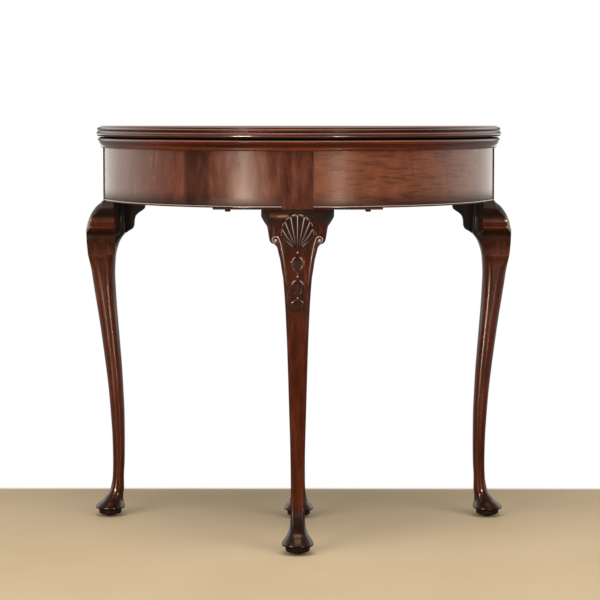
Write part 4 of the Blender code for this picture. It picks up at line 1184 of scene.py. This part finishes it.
def boxMesh(size, middle, turn=0.0):
    mesh = bpy.data.meshes.new("box")
    with editing(mesh) as bm:
        bmesh.ops.create_cube(bm, size=1.0)
        bmesh.ops.scale(bm, vec=size, verts=bm.verts)
        bmesh.ops.rotate(bm, verts=bm.verts, matrix=Matrix.Rotation(turn, 3, "Y"))
        bmesh.ops.translate(bm, vec=middle, verts=bm.verts)
    return mesh


def cutFrom(obj, mesh):
    cutter = bpy.data.objects.new("cutter", mesh)
    scene.collection.objects.link(cutter)
    modifier = obj.modifiers.new("cut", "BOOLEAN")
    modifier.operation = "DIFFERENCE"
    modifier.solver = "EXACT"
    modifier.object = cutter
    graph = bpy.context.evaluated_depsgraph_get()
    cut = bpy.data.meshes.new_from_object(obj.evaluated_get(graph))
    obj.modifiers.clear()
    obj.data = cut
    bpy.data.objects.remove(cutter)


baizeSettings = {"radius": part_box("upper_baize")[1][0], "border": 0.014, "recess": 0.0011,
                 "overrun": 0.002, "nap": 0.00004, "napWaves": (310, 170, 260), "under": 0.0001,
                 "rings": 40, "steps": 120, "weld": 0.00001}
hingeSeat = {"play": 0.0002, "deep": 0.0021, "overrun": 0.01}


def halfRound(radius, inset):
    # points round a half disc's rim, its straight side set in from the back plane
    start = math.asin(inset / radius)
    turns = np.linspace(-math.pi + start, -start, baizeSettings["steps"] + 1)
    return radius * np.cos(turns), backY + radius * np.sin(turns)


def baizeRecess(low, high):
    mesh = bpy.data.meshes.new("recess")
    x, y = halfRound(baizeSettings["radius"] + fit, baizeSettings["border"] - fit)
    with editing(mesh) as bm:
        bottom, top = ([bm.verts.new(point) for point in zip(x, y, np.full_like(x, level))]
                       for level in (low, high))
        bm.faces.new(bottom)
        bm.faces.new(top[::-1])
        for i in range(len(bottom)):
            j = (i + 1) % len(bottom)
            bm.faces.new((bottom[i], bottom[j], top[j], top[i]))
        bmesh.ops.recalc_face_normals(bm, faces=bm.faces[:])
    return mesh


def makeLeaves():
    section = list(leafShape["upper"])
    section += beadSection(*leafShape["smallBead"]) + beadSection(*leafShape["largeBead"])
    section.append((leafShape["largeBead"][1], upperHigh[2] - upperLow[2]))
    section = [(inset, drop, sum(wax for low, high, wax in leafShape["worn"] if low < drop < high))
               for inset, drop in section]
    upper = turnedLeaf("upper_leaf", section, upperLow, upperHigh)
    inset, wax = leafShape["lowerFoot"]
    section = leafShape["lower"] + ((inset, lowerHigh[2] - lowerLow[2], wax),)
    lower = turnedLeaf("lower_leaf", section, lowerLow, lowerHigh)
    recess, overrun = baizeSettings["recess"], baizeSettings["overrun"]
    cutFrom(upper, baizeRecess(upperLow[2] - overrun, upperLow[2] + recess))
    cutFrom(lower, baizeRecess(lowerHigh[2] - recess, lowerHigh[2] + overrun))
    # seats for the hinge plates
    for mark in ("left", "right"):
        for leaf, level in ((upper, "upper"), (lower, "lower")):
            low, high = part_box(f"hinge_plate_{level}_{mark}")
            play = hingeSeat["play"]
            low = Vector((low[0] - play, backY - hingeSeat["deep"], low[2] - play))
            high = Vector((high[0] + play, backY + hingeSeat["overrun"], high[2] + play))
            cutFrom(leaf, boxMesh(high - low, (low + high) / 2))


def makeBaizeSheet(level):
    # a half round of cloth glued into its recess, with a slightly uneven nap
    node = level + "_baize"
    low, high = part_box(node)
    radius, border = baizeSettings["radius"], baizeSettings["border"]
    edgeX, edgeY = halfRound(radius, border)
    heartY = backY - border
    shares = np.linspace(0, 1, baizeSettings["rings"] + 1)[:, None]
    x = shares * edgeX
    y = heartY + shares * (edgeY - heartY)
    first, second, third = baizeSettings["napWaves"]
    nap = baizeSettings["nap"] * np.sin(x * first + np.sin(y * second)) * np.cos(y * third)
    topRows = np.stack([x, y, high[2] - baizeSettings["under"] + nap], axis=-1)
    lowRows = np.stack([x, y, np.full_like(x, low[2])], axis=-1)[::-1]
    rows = np.concatenate([topRows, lowRows[:-1]])
    mesh = skin(rows, rows, closed=False)
    with editing(mesh) as bm:
        bmesh.ops.remove_doubles(bm, verts=bm.verts, dist=baizeSettings["weld"])
        bmesh.ops.holes_fill(bm, edges=bm.edges[:], sides=0)
        bmesh.ops.recalc_face_normals(bm, faces=bm.faces[:])
    sheet = addPiece(node, mesh, "baize", angle=50)


makeLeaves()
makeBaizeSheet("lower")
makeBaizeSheet("upper")
print("leaves and baize made")

# Apron halves and their cock beads, bent round the top's centre
apronShape = {
    "thickness": 0.022,
    "beadHeight": 0.004,
    "beadDepth": 0.004,
    "beadProud": 0.0011,
    "arris": 0.0004,
    # heights above the rail's lower edge, and painted light there: painted shade on the apron's lower edge
    # over the bead and on the bead's lower part and top edge, and a painted highlight on the bead's upper
    # half
    "apronWax": ((0.0, 0.0055, 0.0075), (0.8, 0.8, 0.0)),
    "beadWax": ((0.0, 0.0016, 0.0022, 0.0036, 0.0040), (0.7, 0.6, -0.30, -0.30, 0.5)),
    "steps": 150,
    "beadPoints": 13,
}


def bentBoard(name, node, section, side, finish, levelPaintedLight):
    # section points (radius, level) in order; each keeps to the block at both ends
    radius, level = np.array(section).T
    start = np.arcsin((blockHalf + fit) / radius)
    end = np.arccos((sideSetback + blockHalf + fit) / radius)
    t = np.linspace(0, 1, apronShape["steps"])[:, None]
    turns = start + t * (end - start)
    x = side * radius * np.sin(turns)
    y = backY - radius * np.cos(turns)
    z = level + 0 * turns
    grain = np.stack([side * turns * apronRadius, z, radius + 0 * turns], axis=-1)
    mesh = skin(np.stack([x, y, z], axis=-1), grain, np.interp(z - railBottom, *levelPaintedLight))
    addPiece(node, mesh, finish, angle=30, name=name)


def makeApron(side, mark):
    shape = apronShape
    inner = apronRadius - shape["thickness"]
    rebate = apronRadius - shape["beadDepth"]
    ledge = railBottom + shape["beadHeight"] + fit
    arris = shape["arris"]
    section = [(inner, railTop), (inner, railBottom), (rebate, railBottom), (rebate, ledge),
               (apronRadius - arris, ledge), (apronRadius, ledge + arris)]
    section += [(apronRadius, ledge + (railTop - ledge) * share) for share in (0.25, 0.5, 0.75)]
    section += [(apronRadius, railTop)]
    end = mark.title()
    bentBoard("apron" + end, "apron_" + mark, section, side, "veneer" + end,
              shape["apronWax"])
    half = shape["beadHeight"] / 2
    bead = [(rebate + fit, railBottom)]
    for a in np.linspace(-math.pi / 2, math.pi / 2, shape["beadPoints"]):
        bead.append((apronRadius + shape["beadProud"] * math.cos(a),
                     railBottom + half + half * math.sin(a)))
    bead.append((rebate + fit, railBottom + shape["beadHeight"]))
    bentBoard("cockBead" + end, "apron_bead_" + mark, bead, side, "edge", shape["beadWax"])


makeApron(-1, "left")
makeApron(1, "right")
print("apron made")

# Plain boards, blocks, buttons and pegs: the solids' own shapes with softened arrises
boardLooks = {
    # finish, slot, the way the grain runs, and the solids
    "lengthways": ("beech", "beech", (0, 1, 2), (
        "back_rail_left", "back_rail_right", "tie_rail", "front_keeper", "carriage_tail_rail",
        "carriage_front_tie", "slide_bed", "glue_block_2", "glue_block_3", "top_button_1",
        "top_button_2")),
    "endways": ("beech", "beech", (1, 0, 2), (
        "guide_left", "guide_right", "runner_left", "runner_right", "glue_block_1", "glue_block_4",
        "top_button_3", "top_button_4")),
    "upright": ("leg", "mahogany", (2, 0, 1), ("stop_peg_left", "stop_peg_right")),
}
boardArris = {"width": 0.0008, "sharpFrom": 0.5, "weld": 0.00001, "flatWithin": math.radians(1)}


def easeBoard(node, finish, order):
    graph = bpy.context.evaluated_depsgraph_get()
    mesh = bpy.data.meshes.new_from_object(frame["nodes"][node].evaluated_get(graph))
    mesh.materials.clear()
    with editing(mesh) as bm:
        bmesh.ops.remove_doubles(bm, verts=bm.verts, dist=boardArris["weld"])
        bmesh.ops.dissolve_limit(bm, angle_limit=boardArris["flatWithin"], verts=bm.verts[:],
                                 edges=bm.edges[:])
        sharp = [edge for edge in bm.edges
                 if edge.is_manifold and edge.calc_face_angle(0) > boardArris["sharpFrom"]]
        bmesh.ops.bevel(bm, geom=sharp, offset=boardArris["width"], segments=2, affect="EDGES",
                        clamp_overlap=True)
        bmesh.ops.recalc_face_normals(bm, faces=bm.faces[:])
    points = np.empty(len(mesh.vertices) * 3, np.float32)
    mesh.vertices.foreach_get("co", points)
    # boards with names of unlike length are cut from unlike stretches of the wood
    addValues(mesh, "grain", points.reshape(-1, 3)[:, order] + 0.37 * (len(node) % 7))
    addPiece(node, mesh, finish, angle=30)


for finish, slot, order, nodes in boardLooks.values():
    for node in nodes:
        easeBoard(node, finish, order)
print("boards eased")

# Hinge screws: countersunk heads with a filed slot
screwShape = {"head": 0.0026, "shank": 0.0013, "headHeight": 0.0012, "length": 0.012,
              "slotWidth": 0.0006, "slotDepth": 0.0006, "tip": 0.0001, "steps": 32}


def makeScrew(node):
    s = screwShape
    low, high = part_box(node)
    middle = ((low[0] + high[0]) / 2, high[1], (low[2] + high[2]) / 2)
    tip = s["tip"]
    profile = [(tip, 0), (s["head"] - 2 * tip, 0), (s["head"], -tip),
               (s["shank"], -s["headHeight"]), (s["shank"], -s["length"] * 0.8),
               (3 * tip, -s["length"]), (tip, -s["length"])]
    reach, drop = (column[:, None] for column in np.array(profile).T)
    turns = np.linspace(0, 2 * math.pi, s["steps"], endpoint=False)
    x = middle[0] + reach * np.cos(turns)
    y = middle[1] + drop + 0 * turns
    z = middle[2] + reach * np.sin(turns)
    rows = np.stack([x, y, z], axis=-1)
    screw = addPiece(node, skin(rows, rows), "brass", angle=35)
    turn = 0.4 * len(pieces) % math.pi      # each slot stands another way
    cutFrom(screw, boxMesh((3 * s["head"], 2 * s["slotDepth"], s["slotWidth"]), middle, turn))


for level in ("lower", "upper"):
    for mark in ("left", "right"):
        for end in ("a", "b"):
            makeScrew(f"hinge_screw_{level}_{mark}_{end}")

# Solids that stay as they are take the metal finishes
for node, obj in frame["nodes"].items():
    if node.startswith(("hinge_plate", "hinge_pin")):
        obj.material_slots[0].material = finishes["brass"]
    if node.endswith("_glide"):
        obj.material_slots[0].material = finishes["steel"]
print("fittings made:", len(pieces), "pieces in all")
